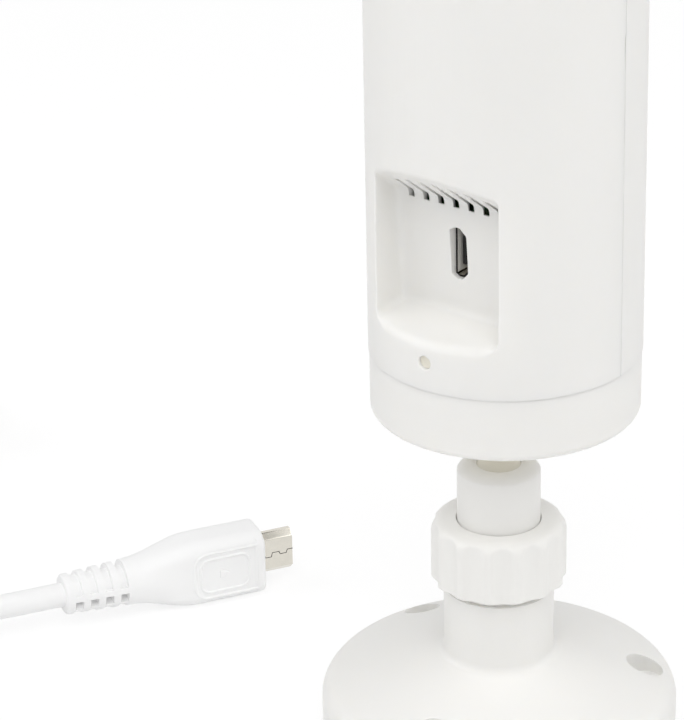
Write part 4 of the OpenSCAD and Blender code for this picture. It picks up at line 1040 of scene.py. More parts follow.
class NETCAM_OT_plug(bpy.types.Operator):
    """Builds the plug that fits the port: grip, metal tip and insulator"""

    bl_idname = "netcam.plug"
    bl_label = "Plug"

    def execute(self, context):
        sizes = context.scene.netcam_lead
        path = lead_path(sizes)
        place = at_plug(path["points"][0], path["plug_turn"])
        taper_end = sizes.sleeve_length + sizes.taper_length
        front = taper_end + sizes.grip_length
        outline = round_box(sizes.grip_thickness, sizes.grip_width, sizes.grip_corner, 10)
        grip = overmould(sizes.sleeve_length, taper_end, front, outline, 4, sizes.flange)
        relief_back = 6.75 * MM
        to_face = Matrix.Translation((front - relief_back, -sizes.grip_thickness / 2, 0)) @ TO_FRONT
        grip += face_relief().placed(to_face)
        add_piece("plug_grip_moulding", grip.placed(place), "stand", "plug_grip", "lead_white")

        wide, thin, wall = sizes.tip_width, sizes.tip_thickness, sizes.tip_wall
        outer_corner, inner_corner, rim = 0.28 * MM, 0.12 * MM, 0.12 * MM
        outer = port_outline(wide, thin, sizes.tip_chamfer, -1, outer_corner)
        inner = port_outline(wide - 2 * wall, thin - 2 * wall, sizes.tip_chamfer - wall, -1, inner_corner)
        floor = front - TIP_SUNK
        metal = tube(outer, inner, floor - TIP_SUNK, floor, front + sizes.tip_length, rim)
        to_face = Matrix.Translation((front, -thin / 2, 0)) @ TO_FRONT
        # The seam's dark strip is painted shade of its gap
        metal += tip_seam(sizes.tip_length).in_finish(1).placed(to_face)
        add_piece(
            "plug_tip_shell", metal.placed(place), "stand", "plug_tip", "nickel_shell", "black_plastic"
        )

        deep, across, tall, corner, edge = 5.6 * MM, 3.4 * MM, 0.25 * MM, 0.08 * MM, 0.05 * MM
        core = prism(round_box(deep, across, corner, 3), 0, tall, edge)
        bar, bar_corner, sunk, proud, along = (4.6 * MM, 0.3 * MM), 0.05 * MM, 0.05 * MM, 0.03 * MM, 0.3 * MM
        places = np.array((-1.2, -0.6, 0, 0.6, 1.2)) * MM
        core = with_contacts(core, bar, bar_corner, tall - sunk, tall + proud, along, places)
        from_wall = 0.5 * MM - thin / 2
        to_core = Matrix.Translation((floor + deep / 2, from_wall, 0)) @ TO_FRONT.inverted()
        add_piece("plug_core", core.placed(place @ to_core), "stand", "plug_tongue", "black_plastic", "gold")
        return {"FINISHED"}


# Body

RIMS = np.array((0, 0.02, 0.05, 0.09, 0.14, 0.25, 0.5)) * MM  # grid lines in from the shells' rounded seams
NOTCH_RUN = 0.8 * MM  # length over which the notch in the side seam opens
NOTCH_REACH = 1 * MM  # how far in from the seam the skin gives way
SIDE_DRAFT = 0.03  # how much the recess widens outwards on each side
FLOOR_BLEND, CEILING_BLEND = 1 * MM, 0.5 * MM  # fillets in the recess's corners and under its ceiling
LEDGE_TOP, LEDGE_FADE = 3 * MM, 2 * MM  # how far up the ledge's rounding reaches, and fades out
LEDGE_SIDE = 2.5 * MM  # how far from the mouth's sides it fades out
HALVINGS = 48  # steps of the search for the skin
SEARCH_OUT, SEARCH_IN = 0.05 * MM, 0.5 * MM  # from the round skin to the search's ends, out and in
SEARCH_FLOOR = 1.5 * MM  # from the recess floor to the inner end
MOUTH_REACH = 3 * MM  # how far beyond the recess's sides its edges bend the skin
VENT_FIELD, FIELD_FADE = 1.5 * MM, 1 * MM  # how far the thin wall runs on round the vents, and fades out
LIP_TOP, LIP_FADE = 1.2 * MM, 1.1 * MM  # how far above the vents' lower end their draft downwards fades out
GROOVE_FADE = 1 * MM  # length over which the vents' grooves fade out
SLOT_CUT = 0.02 * MM  # from a vent's side to the lines on each side of it
PORT_BLOCK, PORT_END = 2.5 * MM, 4.7 * MM  # half sizes of the patch of the grid that is fitted to the port
PIN_BLOCK = 2.0 * MM  # half size of the patch that is fitted to the pinhole
MOUTH_LINES = (  # spans of lines across the recess's side edges: start, end and step in mm, out from the edge
    (-3.4, -0.4, 0.2), (-0.4, -0.16, 0.04), (-0.16, 0.1, 0.02), (0.1, 0.7, 0.06),
)
HOLE_STEP, PORT_STEP = 0.5 * MM, 0.6 * MM  # grid steps at small holes and at the port
LEDGE_STEP, CEILING_STEP = 0.1 * MM, 0.14 * MM  # where the recess bends
FLANK_STEP, UPPER_STEP = 0.55 * MM, 1.4 * MM  # beside the recess and above it
PANE_STEP, SIDE_STEP, PLAIN_STEP = 0.9 * MM, 0.8 * MM, 1 * MM  # at the window, beside it, below it
WINDOW_BLOCK = 1.6 * MM  # from the window's sides to those of the patch of the grid fitted to it
LIGHT_BLOCK, MIC_BLOCK = 2.2 * MM, 1.5 * MM  # half sizes of the patches at the status light and microphone
PANE_EDGE = (0, 0.1, 0.3, 0.62, 1)  # rings over the pane's rounded edges, in radii of the rounding
PANE_RINGS = (0.1, 0.25, 0.4, 0.55, 0.7, 0.85)  # rings between them, as shares of the way


def round_max(a, b, radius):
    """Greater of two signed distances, with the edge between them rounded."""
    corner = np.hypot(np.maximum(radius + a, 0), np.maximum(radius + b, 0))
    return np.minimum(-radius, np.maximum(a, b)) + corner


def round_body(x, radius):
    """Way round the body's skin to places at some distances from its middle plane."""
    return radius * np.arcsin(np.clip(np.asarray(x) / radius, -1, 1))


class Recess:
    """The port recess in the rear shell, and the depth at which its surface lies."""

    def __init__(self, sizes):
        low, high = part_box("rear_shell")
        self.low, self.high = low, high
        self.sizes = sizes
        self.half = sizes.recess_width / 2
        self.radius = high.x
        self.axis = high.y - high.x
        self.floor = self.axis + sizes.recess_floor
        self.port = low.z + sizes.port_height
        self.pin = low.z + sizes.pinhole_height
        self.ledge_out = self.port - sizes.ledge_below
        self.ceiling = self.port + sizes.ceiling_above
        self.mouth = self.axis + math.sqrt(self.radius**2 - sizes.recess_width**2 / 4)
        self.rise = math.tan(sizes.ceiling_slope)
        self.lean = math.tan(sizes.recess_tilt)
        self.fall = sizes.ledge_rise / (high.y - self.floor)
        crease = self.ceiling + sizes.ceiling_above * self.lean * self.rise / (1 - self.lean * self.rise)
        self.vent_low = crease - sizes.vent_drop
        self.vent_top = self.ceiling + sizes.vent_reach * self.rise
        self.brow = self.ceiling + (high.y - self.floor) * self.rise
        self.slots = (np.arange(sizes.vent_count) - (sizes.vent_count - 1) / 2) * sizes.vent_pitch

    def gap(self, x, y, z, grow):
        """Signed distance to the shell's skin: negative inside the plastic, or inside its inner skin."""
        sizes = self.sizes
        side = np.abs(x) - (self.half + (y - self.mouth) * SIDE_DRAFT) - grow
        floor = (self.floor + (z - self.port) * self.lean - y) * math.cos(sizes.recess_tilt) - grow
        ledge_at = self.ledge_out + sizes.ledge_rise - (y - self.floor) * self.fall
        ledge = (ledge_at - z) * math.cos(math.atan(self.fall)) - grow
        ceiling = (z - self.ceiling - (y - self.floor) * self.rise) * math.cos(sizes.ceiling_slope) - grow
        beside = round_max(floor, side, sizes.recess_corner)
        below = round_max(floor, ledge, sizes.ledge_corner)
        void = round_max(round_max(beside, below, FLOOR_BLEND), ceiling, CEILING_BLEND)
        skin = np.hypot(x, y - self.axis) - (self.radius - grow)
        on_ledge = ease((self.ledge_out + LEDGE_TOP - z) / LEDGE_FADE)
        on_ledge = on_ledge * ease((self.half - np.abs(x)) / LEDGE_SIDE)
        edge = sizes.mouth_edge + (sizes.ledge_edge - sizes.mouth_edge) * on_ledge
        return round_max(skin, -void, edge)

    def depth(self, x, z, grow):
        """Y of the skin over a point, found by halving."""
        near = self.axis + np.sqrt(np.maximum((self.radius - grow) ** 2 - x * x, 0))
        high = near + SEARCH_OUT
        low = np.minimum(self.floor - grow - SEARCH_FLOOR, near - SEARCH_IN)
        for _ in range(HALVINGS):
            middle = (low + high) / 2
            outside = self.gap(x, middle, z, grow) > 0
            high = np.where(outside, middle, high)
            low = np.where(outside, low, middle)
        return (low + high) / 2

    def nearest_slot(self, x):
        """Middle of the vent that is nearest to each point."""
        return self.slots[np.abs(x[:, None] - self.slots[None]).argmin(1)]

    def opened(self, x, z):
        """Place of inner points where the vents widen inwards."""
        sizes = self.sizes
        slot = self.nearest_slot(x)
        half, rib = sizes.vent_width / 2, sizes.vent_pitch / 2
        away = np.abs(x - slot)
        wide = np.clip(np.where(away < half, away / half, 1 - (away - half) / (rib - half)), 0, 1)
        above, below = z - self.vent_low + VENT_FIELD, self.vent_top + VENT_FIELD - z
        within = ease(above / FIELD_FADE) * ease(below / FIELD_FADE)
        drop = ease(above / VENT_FIELD) * ease((self.vent_low + LIP_TOP - z) / LIP_FADE)
        across = np.abs(x) < self.slots[-1] + rib
        draft = sizes.vent_draft
        return x + np.sign(x - slot) * wide * draft * within, z - across * draft * drop

    def vented(self, x, y, z):
        """Depth with the grooves that run on from the vents, which fade out towards the skin."""
        sizes = self.sizes
        left = self.radius - sizes.vent_margin - np.hypot(x, y - self.axis)
        deep = sizes.vent_groove * ease(left / GROOVE_FADE) / self.rise
        in_vent = np.abs(x - self.nearest_slot(x)) <= sizes.vent_width / 2 + TINY
        return np.where(in_vent & (z > self.vent_top), y - deep, y)


def notched(sizes, flat, low, end):
    """How far points move in along U where the side seam stands open."""
    height = flat[:, 1] - low
    along = ease((height - sizes.notch_low) / NOTCH_RUN) * ease((sizes.notch_high - height) / NOTCH_RUN)
    near = ease((np.abs(flat[:, 0]) - end + NOTCH_REACH) / (0.9 * NOTCH_REACH))
    return np.sign(flat[:, 0]) * along * near * sizes.notch_gap


def shell_drop(sizes, flat, end, low, high):
    """How far a shell's skin falls off towards the side seams and the caps."""
    side = edge_drop(end - np.abs(flat[:, 0]), sizes.seam_edge)
    return np.maximum(side, edge_drop(np.minimum(flat[:, 1] - low, high - flat[:, 1]), sizes.cap_edge))


class NETCAM_OT_rear_shell(bpy.types.Operator):
    """Moulds the rear shell with its port recess, vents and pinhole"""

    bl_idname = "netcam.rear_shell"
    bl_label = "Rear shell"

    def execute(self, context):
        sizes = context.scene.netcam_body
        recess = Recess(sizes)
        radius = recess.radius
        end = radius * math.acos((recess.low.y - recess.axis) / radius) - sizes.seam_gap
        low, high = recess.low.z + sizes.cap_gap, recess.high.z - sizes.cap_gap
        us, vs = self.columns(sizes, recess, end), self.rows(recess, low, high)
        flat, faces, drop = panel(us, vs, self.cuts(sizes, recess))
        z = flat[:, 1]
        turn = (flat[:, 0] - notched(sizes, flat, recess.low.z, end)) / radius

        def skin(grow):
            x = (radius - grow) * np.sin(turn)
            y = recess.axis + (radius - grow) * np.cos(turn)
            inside = np.abs(x) < recess.half + MOUTH_REACH
            y[inside] = np.minimum(y[inside], recess.depth(x[inside], z[inside], grow[inside]))
            return x, y

        x, y = skin(np.zeros(len(z)))
        y = recess.vented(x, y, z)
        drop = drop + shell_drop(sizes, flat, end, low, high)
        outer = np.column_stack((x - drop * np.sin(turn), y - drop * np.cos(turn), z))
        in_field = np.minimum(z - recess.vent_low, recess.vent_top - z)
        in_field = np.minimum(in_field, recess.slots[-1] - np.abs(x))
        thinned = (sizes.wall - sizes.vent_wall) * ease((in_field + VENT_FIELD) / FIELD_FADE)
        x, y = skin(sizes.wall - thinned)
        x, z = recess.opened(x, z)
        form = thick(outer, np.column_stack((x, y, z)), faces)
        add_piece("rear_shell_moulding", form, "camera", "rear_shell", "white_abs")
        return {"FINISHED"}

    def columns(self, sizes, recess, end):
        """Grid lines round the body, closest at the vents' sides and the recess's edges."""
        sides = [slot + side * sizes.vent_width / 2 for slot in recess.slots for side in (-1, 1)]
        xs = [side + off for side in sides for off in (-SLOT_CUT, SLOT_CUT)]
        xs += [slot + share * sizes.vent_width for slot in recess.slots for share in (-0.25, 0, 0.25)]
        xs += [-PORT_BLOCK, PORT_BLOCK, -PIN_BLOCK, PIN_BLOCK, 0]
        half = recess.half
        mouth = lines(*((half + a * MM, half + b * MM, step * MM) for a, b, step in MOUTH_LINES))
        us = round_body((*xs, *mouth, *-mouth), recess.radius)
        flank = lines((round_body(mouth[-1], recess.radius), end - RIMS[-1], FLANK_STEP))
        return distinct((us, flank, -flank, end - RIMS, RIMS - end))

    def rows(self, recess, low, high):
        """Grid lines up the body, closest where the recess bends."""
        pin, port = recess.pin, recess.port
        ledge_end, brow_end = recess.ledge_out + 3.2 * MM, recess.brow + 0.8 * MM
        vs = lines(
            (low + RIMS[-1], pin - PIN_BLOCK, PORT_STEP),
            (pin - PIN_BLOCK, pin + PIN_BLOCK, HOLE_STEP),
            (pin + PIN_BLOCK, recess.ledge_out - 0.2 * MM, LEDGE_STEP),
            (recess.ledge_out - 1 * MM, ledge_end, LEDGE_STEP),
            (ledge_end, port - PORT_END, HOLE_STEP),
            (port - PORT_END, port + PORT_END, PORT_STEP),
            (port + PORT_END, brow_end, CEILING_STEP),
            (brow_end, high - RIMS[-1], UPPER_STEP),
        )
        vents = [edge + off for edge in (recess.vent_low, recess.vent_top) for off in (-CUT, CUT)]
        return distinct((vs, low + RIMS, high - RIMS, vents))

    def cuts(self, sizes, recess):
        """The holes for the port and the pinhole, and the open vents."""
        wide = sizes.port_width + 2 * (sizes.port_wall + sizes.port_end_room)
        deep = sizes.port_depth + 2 * (sizes.port_wall + sizes.port_room)
        chamfer, corner = sizes.port_chamfer + sizes.port_room, 0.35 * MM
        port = port_outline(wide, deep, chamfer, -1, corner) + (0, recess.port)
        pin = circle(sizes.pinhole_radius) + (0, recess.pin)
        holes = [
            (PORT_BLOCK, recess.port, PORT_END, port, sizes.hole_edge),
            (PIN_BLOCK, recess.pin, PIN_BLOCK, pin, sizes.pinhole_edge),
        ]
        cuts = []
        for half, middle, tall, outline, edge in holes:
            side = round_body(half, recess.radius)
            cuts.append(((-side, side, middle - tall, middle + tall), outline, edge))
        half = sizes.vent_width / 2 - SLOT_CUT
        for slot in recess.slots:
            sides = round_body((slot - half, slot + half), recess.radius)
            cuts.append(((*sides, recess.vent_low + CUT, recess.vent_top - CUT), None, 0))
        return cuts


class NETCAM_OT_front_shell(bpy.types.Operator):
    """Moulds the front shell and its dark window"""

    bl_idname = "netcam.front_shell"
    bl_label = "Front shell and window"

    def execute(self, context):
        sizes = context.scene.netcam_body
        low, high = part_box("front_shell")
        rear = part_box("rear_shell")[1]
        radius, axis = high.x, rear.y - rear.x
        end = radius * math.acos((axis - high.y) / radius) - sizes.seam_gap
        floor, top = low.z + sizes.cap_gap, high.z - sizes.cap_gap
        lens, light = low.z + sizes.lens_height, low.z + sizes.light_height
        middle = lens - sizes.window_drop
        wide = round_body(sizes.window_width / 2 + WINDOW_BLOCK, radius)
        tall = sizes.window_height / 2 + WINDOW_BLOCK
        mic_start, mic_end = sizes.mic_offset - MIC_BLOCK, sizes.mic_offset + MIC_BLOCK
        us = lines(
            (RIMS[-1] - end, -wide, SIDE_STEP),
            (-wide, -LIGHT_BLOCK, PANE_STEP),
            (-LIGHT_BLOCK, LIGHT_BLOCK, HOLE_STEP),
            (LIGHT_BLOCK, mic_start, HOLE_STEP),
            (mic_start, mic_end, HOLE_STEP),
            (mic_end, wide, PANE_STEP),
            (wide, end - RIMS[-1], SIDE_STEP),
        )
        vs = lines(
            (floor + RIMS[-1], light - LIGHT_BLOCK, PLAIN_STEP),
            (light - LIGHT_BLOCK, light + LIGHT_BLOCK, HOLE_STEP),
            (light - MIC_BLOCK, light + MIC_BLOCK, HOLE_STEP),
            (light + LIGHT_BLOCK, middle - tall, PLAIN_STEP),
            (middle - tall, middle + tall, PANE_STEP),
            (middle + tall, top - RIMS[-1], SIDE_STEP),
        )
        us = distinct((us, end - RIMS[:-1], RIMS[:-1] - end))
        vs = distinct((vs, floor + RIMS[:-1], top - RIMS[:-1]))
        room = 2 * sizes.window_room
        hole = round_box(sizes.window_width + room, sizes.window_height + room, sizes.window_corner, 16)
        hole[:, 0] = round_body(hole[:, 0], radius)
        light_hole = circle(sizes.light_radius + sizes.window_room) + (0, light)
        mic_hole = circle(sizes.mic_radius, 32) + (sizes.mic_offset, light)
        light_block = (-LIGHT_BLOCK, LIGHT_BLOCK, light - LIGHT_BLOCK, light + LIGHT_BLOCK)
        flat, faces, drop = panel(us, vs, [
            ((-wide, wide, middle - tall, middle + tall), hole + (0, middle), sizes.hole_edge),
            (light_block, light_hole, sizes.hole_edge),
            ((mic_start, mic_end, light - MIC_BLOCK, light + MIC_BLOCK), mic_hole, sizes.hole_edge),
        ])
        drop = drop + shell_drop(sizes, flat, end, floor, top)
        turn = flat[:, 0] / radius

        def skin(out):
            return np.column_stack((out * np.sin(turn), axis - out * np.cos(turn), flat[:, 1]))

        form = thick(skin(radius - drop), skin(radius - sizes.wall), faces)
        add_piece("front_shell_moulding", form, "camera", "front_shell", "white_abs")
        self.add_window(sizes, middle, lens, radius, axis)
        return {"FINISHED"}

    def add_window(self, sizes, middle, lens, radius, axis):
        """The pane: rings of faces from its rim to the hole for the lens, bent to the body's curve."""
        pane = round_box(sizes.window_width, sizes.window_height, sizes.window_corner, 16)
        rays = circle(1, 160)
        outside = on_outline(pane + (0, middle - lens), rays)
        inside = rays * sizes.lens_hole
        span = np.linalg.norm(outside - inside, axis=1)
        edge = 0.2 * MM
        near = [edge * k for k in PANE_EDGE]
        steps = [np.full(len(rays), away) for away in near] + [span * k for k in PANE_RINGS]
        steps += [span - away for away in near[::-1]]
        numbers = np.arange(len(steps) * len(rays)).reshape(len(steps), -1)
        faces = [face for loops in zip(numbers, numbers[1:]) for face in band(*loops)]
        flat = np.vstack([outside + (inside - outside) * (away / span)[:, None] for away in steps])
        drop = edge_drop(np.concatenate([np.minimum(away, span - away) for away in steps]), edge)

        def skin(out):
            return np.column_stack((flat[:, 0], axis - np.sqrt(out**2 - flat[:, 0] ** 2), flat[:, 1] + lens))

        form = thick(skin(radius - drop), skin(radius - sizes.window_thickness), faces)
        add_piece("window_pane", form, "camera", "front_window", "window_acrylic")


class NETCAM_OT_optics(bpy.types.Operator):
    """Builds the lens ring and the front lens"""

    bl_idname = "netcam.optics"
    bl_label = "Lens and ring"

    def execute(self, context):
        sizes = context.scene.netcam_body
        low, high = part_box("lens_bezel")
        outer, deep = (high.x - low.x) / 2, high.y - low.y
        hole = outer - sizes.ring_slope
        back_edge, side_edge, rim_edge, slope_edge = 0.1 * MM, 0.2 * MM, 0.12 * MM, 0.15 * MM
        chamfer, drop, rim = 0.3 * MM, 0.15 * MM, 0.25 * MM
        profile = rounded([  # from the back of the hole round to the slope that runs into it
            (hole, 0, back_edge), (outer, 0, back_edge), (outer, deep - drop, side_edge),
            (outer - chamfer, deep, rim_edge), (outer - chamfer - rim, deep, rim_edge),
            (hole, deep - sizes.ring_slope, slope_edge),
        ], 5)
        form = ring(profile, 160).placed(self.to_front(low, high))
        add_piece("lens_ring", form, "camera", "lens_bezel", "bezel_metal")
        low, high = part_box("front_lens")
        radius, crown = (high.x - low.x) / 2, high.y - low.y
        curve, edge, bevel, seat, hollow = sizes.lens_curve, 0.15 * MM, 0.1 * MM, 0.7 * MM, 0.5 * MM
        back, face = np.linspace(edge, radius - seat, 12), np.linspace(radius - edge, edge, 24)
        bowl = [(r, hollow * (1 - (r / radius) ** 2)) for r in back]
        dome = [(r, crown - (curve - math.sqrt(curve**2 - r * r))) for r in face]
        rim = [(radius - edge, 0), (radius, edge), (radius, dome[0][1] - bevel)]
        form = turned(bowl + rim + dome).placed(self.to_front(low, high))
        add_piece("lens_element", form, "camera", "front_lens", "lens_glass")
        return {"FINISHED"}

    def to_front(self, low, high):
        """Matrix of a piece drawn up along Z from the back of its box."""
        return Matrix.Translation(((low.x + high.x) / 2, high.y, (low.z + high.z) / 2)) @ TO_FRONT


class NETCAM_OT_port(bpy.types.Operator):
    """Builds the power port's metal shell and its insulator"""

    bl_idname = "netcam.port"
    bl_label = "Power port"

    def execute(self, context):
        sizes = context.scene.netcam_body
        low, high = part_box("port_shell")
        place = Matrix.Translation((0, 0, (low.z + high.z) / 2)) @ Matrix.Rotation(math.pi / 2, 4, "Z")
        width, depth, wall = sizes.port_width, sizes.port_depth, sizes.port_wall
        outer_corner, inner_corner, rim = 0.4 * MM, 0.25 * MM, 0.14 * MM
        outer = port_outline(width + 2 * wall, depth + 2 * wall, sizes.port_chamfer, 1, outer_corner)
        inner = port_outline(width, depth, sizes.port_chamfer, 1, inner_corner)
        back_wall, proud = 1.2 * MM, 0.25 * MM
        front = high.y + proud
        shell = tube(outer, inner, low.y, low.y + back_wall, front, rim)
        # The front rim takes a near-black finish, painted shade, and the broad inner wall away from the
        # chamfers takes a paler, matte copy of the plating, a painted highlight
        slack = 0.01 * MM
        edge = shell.points[:, 0] > front - rim - slack
        lit_wall = np.abs(shell.points[:, 1] + depth / 2) < slack
        shade_rim, lit_wall_finish = 1, 2
        shell.finishes = [
            shade_rim if edge[list(face)].all() else lit_wall_finish * int(lit_wall[list(face)].all())
            for face in shell.faces
        ]
        add_piece("port_can", shell.placed(place), "camera", "port_shell", "nickel_shell", "cut", "tin")

        low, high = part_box("port_tongue")
        tall, deep, thin = high.z - low.z, high.y - low.y, high.x - low.x
        corner, edge = 0.12 * MM, 0.1 * MM
        core = prism(round_box(deep, tall, corner, 3), 0, thin, edge)
        bar, bar_corner, sunk, proud = (deep - 0.5 * MM, 0.42 * MM), 0.08 * MM, 0.05 * MM, 0.03 * MM
        along, pitch = 0.1 * MM, 0.75 * MM
        places = np.arange(-2, 3) * pitch
        core = with_contacts(core, bar, bar_corner, thin - sunk, thin + proud, along, places)
        middle = (low + high) / 2
        turn = Matrix(((0, 0, -1, 0), (1, 0, 0, 0), (0, -1, 0, 0), (0, 0, 0, 1)))  # X to +Y, Z to -X
        to_port = Matrix.Translation((high.x, middle.y, middle.z)) @ turn
        add_piece("port_core", core.placed(to_port), "camera", "port_tongue", "black_plastic", "gold")
        return {"FINISHED"}


# Stand

FLUTE_SIDES = 28  # outlines of the nut from flute to flute
FLUTE_ZONE = 2.2  # depths of a flute in from the nut's ridges, within which its wall is fluted


class NETCAM_OT_clamp_nut(bpy.types.Operator):
    """Moulds the fluted nut that clamps the post"""

    bl_idname = "netcam.clamp_nut"
    bl_label = "Clamp nut"

    def execute(self, context):
        sizes = context.scene.netcam_stand
        low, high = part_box("clamp_nut")
        tall = high.z - low.z
        lip = tall - sizes.nut_lip
        foot_edge, bore_edge, lip_edge, lip_slope = 0.3 * MM, 0.15 * MM, 0.1 * MM, 0.5 * MM
        outline = rounded([
            (sizes.thread_radius, 0, 0), (sizes.nut_radius, 0, foot_edge),
            (sizes.nut_radius, tall, sizes.nut_shoulder), (sizes.nut_bore, tall, bore_edge),
            (sizes.nut_bore, lip, lip_edge), (sizes.thread_radius, lip - lip_slope, 0),
        ], 12)
        step = 0.5 * MM
        profile = []
        for here, ahead in zip(outline, np.roll(outline, -1, 0)):
            parts = max(1, math.ceil(np.linalg.norm(ahead - here) / step))
            profile += [here + (ahead - here) * k / parts for k in range(parts)]
        radius, height = np.array(profile).T
        deep, blend = sizes.flute_depth, sizes.ridge_blend
        flute = (sizes.flute_chord**2 + deep**2) / (2 * deep)
        centre = sizes.nut_radius - deep + flute
        pitch = 2 * math.pi / sizes.flute_count
        fluted = radius > sizes.nut_radius - FLUTE_ZONE * deep
        loops = []
        for turn in np.linspace(0, 2 * math.pi, sizes.flute_count * FLUTE_SIDES, endpoint=False):
            off = abs((turn + pitch / 2) % pitch - pitch / 2)
            hollow = flute**2 - (centre * math.sin(off)) ** 2
            reach = centre * math.cos(off) - math.sqrt(hollow) if hollow > 0 else centre
            near = np.maximum(blend - np.abs(radius - reach), 0) / blend
            cut = np.minimum(radius, reach) - near * near * blend / 4
            loops.append(spun(np.where(fluted, cut, radius), low.z + height, turn))
        add_piece("fluted_nut", loft(loops, closed=True), "clamp_nut", "clamp_nut", "white_nylon", crease=50)
        return {"FINISHED"}


# Solids that keep their shape

CAD_FINISHES = {  # finish slot and edge rounding in millimetres
    "base_cover": ("white_abs", 0.25), "base_plate": ("grey_abs", 0.2),
    "base_screws": ("plated_steel", 0.12), "foot_pad": ("foot_rubber", 0.25),
    "clamp_ring": ("white_nylon", 0.1), "post": ("white_nylon", 0.15),
    "socket_liner": ("white_nylon", 0.05), "ball_stud": ("white_acetal", 0.1),
    "thread_insert": ("insert_brass", 0.1), "bottom_cap": ("white_abs", 0.12),
    "cap_screws": ("plated_steel", 0.08), "top_cap": ("white_abs", 0.12),
    "lens_barrel": ("black_plastic", 0.1), "lens_holder": ("black_plastic", 0.15),
    "image_sensor": ("sensor_glass", 0.08), "led_board": ("board_green", 0.05),
    "infrared_leds": ("clear_plastic", 0.12), "main_board": ("board_green", 0.05),
    "board_screws": ("plated_steel", 0.08), "main_chip": ("black_plastic", 0.08),
    "heat_sink": ("sink_aluminium", 0.08), "antenna": ("antenna_copper", 0.05),
    "antenna_lead": ("black_plastic", 0.0), "status_led": ("clear_plastic", 0.08),
    "light_pipe": ("clear_plastic", 0.08), "microphone": ("plated_steel", 0.12),
    "reset_switch": ("black_plastic", 0.12), "reset_plunger": ("white_acetal", 0.1),
}


class NETCAM_OT_solids(bpy.types.Operator):
    """Finishes the packed solids that keep their shape"""

    bl_idname = "netcam.solids"
    bl_label = "Packed solids"

    def execute(self, context):
        for name, (slot, edge) in CAD_FINISHES.items():
            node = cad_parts[name]
            node.data.materials.clear()
            node.data.materials.append(finish(slot))
            if edge:
                weld = node.modifiers.new("Join faces", "WELD")
                weld.merge_threshold = 0.001 * MM
                bevel = node.modifiers.new("Eased edges", "BEVEL")
                bevel.width = edge * MM
                bevel.segments = 2
                bevel.limit_method = "ANGLE"
                bevel.angle_limit = math.radians(40)
                node.modifiers.new("Even shading", "WEIGHTED_NORMAL").keep_sharp = True
        return {"FINISHED"}


# Stage

FLOOR_HALF = 3.0  # half the floor's side
PAPER_GLOW, GLOW_SHARE = 1.063, 0.75  # strength of the floor's glow, and its share over the paper
CEILING_EDGE = (0.7, 0.9)  # heights of a mirrored direction between which the white walls turn to dim ceiling
LAMP_SIZE = 0.9  # side of a lamp's square face
LAMP_AIM = Vector((0, 0, 0.06))  # about the middle of the object
LAMPS = {  # the setting that holds a lamp's power, and its place
    "upper_lamp": ("key", (-0.417, 0.533, 0.92)),
    "left_lamp": ("side", (0.664, 0.519, 0.707)),
    "right_lamp": ("side", (-0.664, -0.519, 0.707)),
}


def any_ray(tree, *kinds):
    """One for rays of any of some kinds, and nought for others."""
    path = add_node(tree, "ShaderNodeLightPath")
    found = path.outputs[kinds[0]]
    for kind in kinds[1:]:
        either = add_node(tree, "ShaderNodeMath", {"operation": "MAXIMUM"}, {0: found, 1: path.outputs[kind]})
        found = either.outputs[0]
    return found


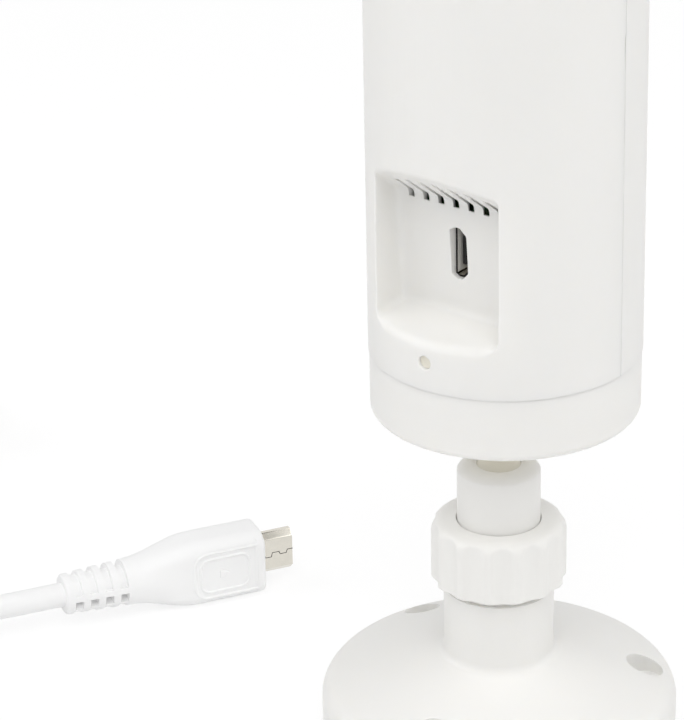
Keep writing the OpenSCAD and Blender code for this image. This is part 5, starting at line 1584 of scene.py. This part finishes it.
class NETCAM_OT_stage(bpy.types.Operator):
    """Sets the camera, the pale floor and the soft studio light"""

    bl_idname = "netcam.stage"
    bl_label = "Stage"

    def execute(self, context):
        studio = context.scene.netcam_studio
        self.add_camera(context, studio)
        self.add_floor()
        self.add_world(context, studio)
        self.add_lamps(studio)
        context.scene.view_settings.view_transform = "Standard"
        return {"FINISHED"}

    def add_camera(self, context, studio):
        """The camera, turned about its own axis by the roll."""
        a, e, r = studio.azimuth, studio.elevation, studio.roll
        back = Vector((math.sin(a) * math.cos(e), -math.cos(a) * math.cos(e), math.sin(e)))
        right = Vector((math.cos(a), math.sin(a), 0))
        up = back.cross(right)
        across = right * math.cos(r) + up * math.sin(r)
        upward = up * math.cos(r) - right * math.sin(r)
        data = bpy.data.cameras.new("photo_camera")
        data.lens = studio.lens
        data.sensor_width = 36
        data.clip_start = 0.01
        camera = add_object("photo_camera", data)
        turn = Matrix((across, upward, back)).transposed().to_4x4()
        camera.matrix_world = Matrix.Translation(Vector(studio.target) + back * studio.distance) @ turn
        context.scene.camera = camera

    def add_floor(self):
        """White paper, which takes shade but meets the white background without an edge."""
        corners = [(-1, -1, 0), (1, -1, 0), (1, 1, 0), (-1, 1, 0)]
        mesh = bpy.data.meshes.new("studio_floor")
        mesh.from_pydata([Vector(corner) * FLOOR_HALF for corner in corners], [], [(0, 1, 2, 3)])
        material = bpy.data.materials.new("Matt paper floor")
        tree = bare_tree(material)
        paper = add_node(tree, "ShaderNodeBsdfDiffuse", {"Color": linear("FBFBFB")})
        # The paper sends back about 0.8 of white in the open, and the glow fills that up to 1
        glow = add_node(tree, "ShaderNodeEmission", {"Strength": PAPER_GLOW})
        shown = any_ray(tree, "Is Camera Ray", "Is Glossy Ray", "Is Transmission Ray")
        share = add_node(tree, "ShaderNodeMath", {"operation": "MULTIPLY", 1: GLOW_SHARE}, {0: shown})
        parts = {0: share.outputs[0], 1: paper.outputs[0], 2: glow.outputs[0]}
        both = add_node(tree, "ShaderNodeMixShader", links=parts)
        add_node(tree, "ShaderNodeOutputMaterial", links={"Surface": both.outputs[0]})
        mesh.materials.append(material)
        add_object("studio_floor", mesh)

    def add_world(self, context, studio):
        """Even light all round, white where it is seen, and a dim ceiling where metal and glass mirror it."""
        world = bpy.data.worlds.new("White studio")
        tree = bare_tree(world)
        toward = add_node(tree, "ShaderNodeTexCoord").outputs["Generated"]
        height = add_node(tree, "ShaderNodeSeparateXYZ", links={0: toward}).outputs["Z"]
        low, high = CEILING_EDGE
        levels = {"From Min": low, "From Max": high, "To Min": 1.0, "To Max": studio.dim}
        mirrored = add_node(tree, "ShaderNodeMapRange", levels, {"Value": height}).outputs[0]
        glossy = any_ray(tree, "Is Glossy Ray")
        other = add_node(tree, "ShaderNodeMix", {2: studio.sky}, {0: glossy, 3: mirrored}).outputs[0]
        seen = any_ray(tree, "Is Camera Ray", "Is Transmission Ray")
        level = add_node(tree, "ShaderNodeMix", {3: 1.0}, {0: seen, 2: other}).outputs[0]
        even = add_node(tree, "ShaderNodeBackground", {"Color": (1, 1, 1, 1)}, {"Strength": level})
        add_node(tree, "ShaderNodeOutputWorld", links={"Surface": even.outputs[0]})
        context.scene.world = world

    def add_lamps(self, studio):
        """Soft lamps above the camera and at its sides."""
        for name, (power, place) in LAMPS.items():
            lamp = bpy.data.lights.new(name, "AREA")
            lamp.energy, lamp.size = getattr(studio, power), LAMP_SIZE
            holder = add_object(name, lamp)
            turn = (LAMP_AIM - Vector(place)).to_track_quat("-Z", "Y").to_matrix().to_4x4()
            holder.matrix_world = Matrix.Translation(place) @ turn
            holder.visible_glossy = name != "upper_lamp"  # metal mirrors the dim ceiling there


class NETCAM_PT_pieces(bpy.types.Panel):
    """Lists the sizes and the pieces of the camera"""

    bl_idname = "NETCAM_PT_pieces"
    bl_label = "Network camera"
    bl_space_type = "VIEW_3D"
    bl_region_type = "UI"
    bl_category = "Network camera"

    def draw(self, context):
        for group in GROUPS:
            box = self.layout.box()
            box.label(text=group.__doc__.rstrip("."))
            holder = getattr(context.scene, GROUPS[group])
            for key in group.__annotations__:
                box.prop(holder, key)
        for operator in OPERATORS:
            self.layout.operator(operator.bl_idname)


GROUPS = {
    BodySizes: "netcam_body",
    StandSizes: "netcam_stand",
    LeadSizes: "netcam_lead",
    Colours: "netcam_colours",
    Studio: "netcam_studio",
}
OPERATORS = (
    NETCAM_OT_stage,
    NETCAM_OT_lead,
    NETCAM_OT_plug,
    NETCAM_OT_rear_shell,
    NETCAM_OT_front_shell,
    NETCAM_OT_optics,
    NETCAM_OT_port,
    NETCAM_OT_clamp_nut,
    NETCAM_OT_solids,
)


def register():
    for group, name in GROUPS.items():
        bpy.utils.register_class(group)
        setattr(bpy.types.Scene, name, bpy.props.PointerProperty(type=group))
    for item in (*OPERATORS, NETCAM_PT_pieces):
        bpy.utils.register_class(item)


def unregister():
    for item in (NETCAM_PT_pieces, *OPERATORS[::-1]):
        bpy.utils.unregister_class(item)
    for group, name in GROUPS.items():
        delattr(bpy.types.Scene, name)
        bpy.utils.unregister_class(group)


def main():
    """Registers the add-on and builds everything in order."""
    register()
    for operator in OPERATORS:
        space, name = operator.bl_idname.split(".")
        getattr(getattr(bpy.ops, space), name)()


if __name__ == "__main__":
    main()
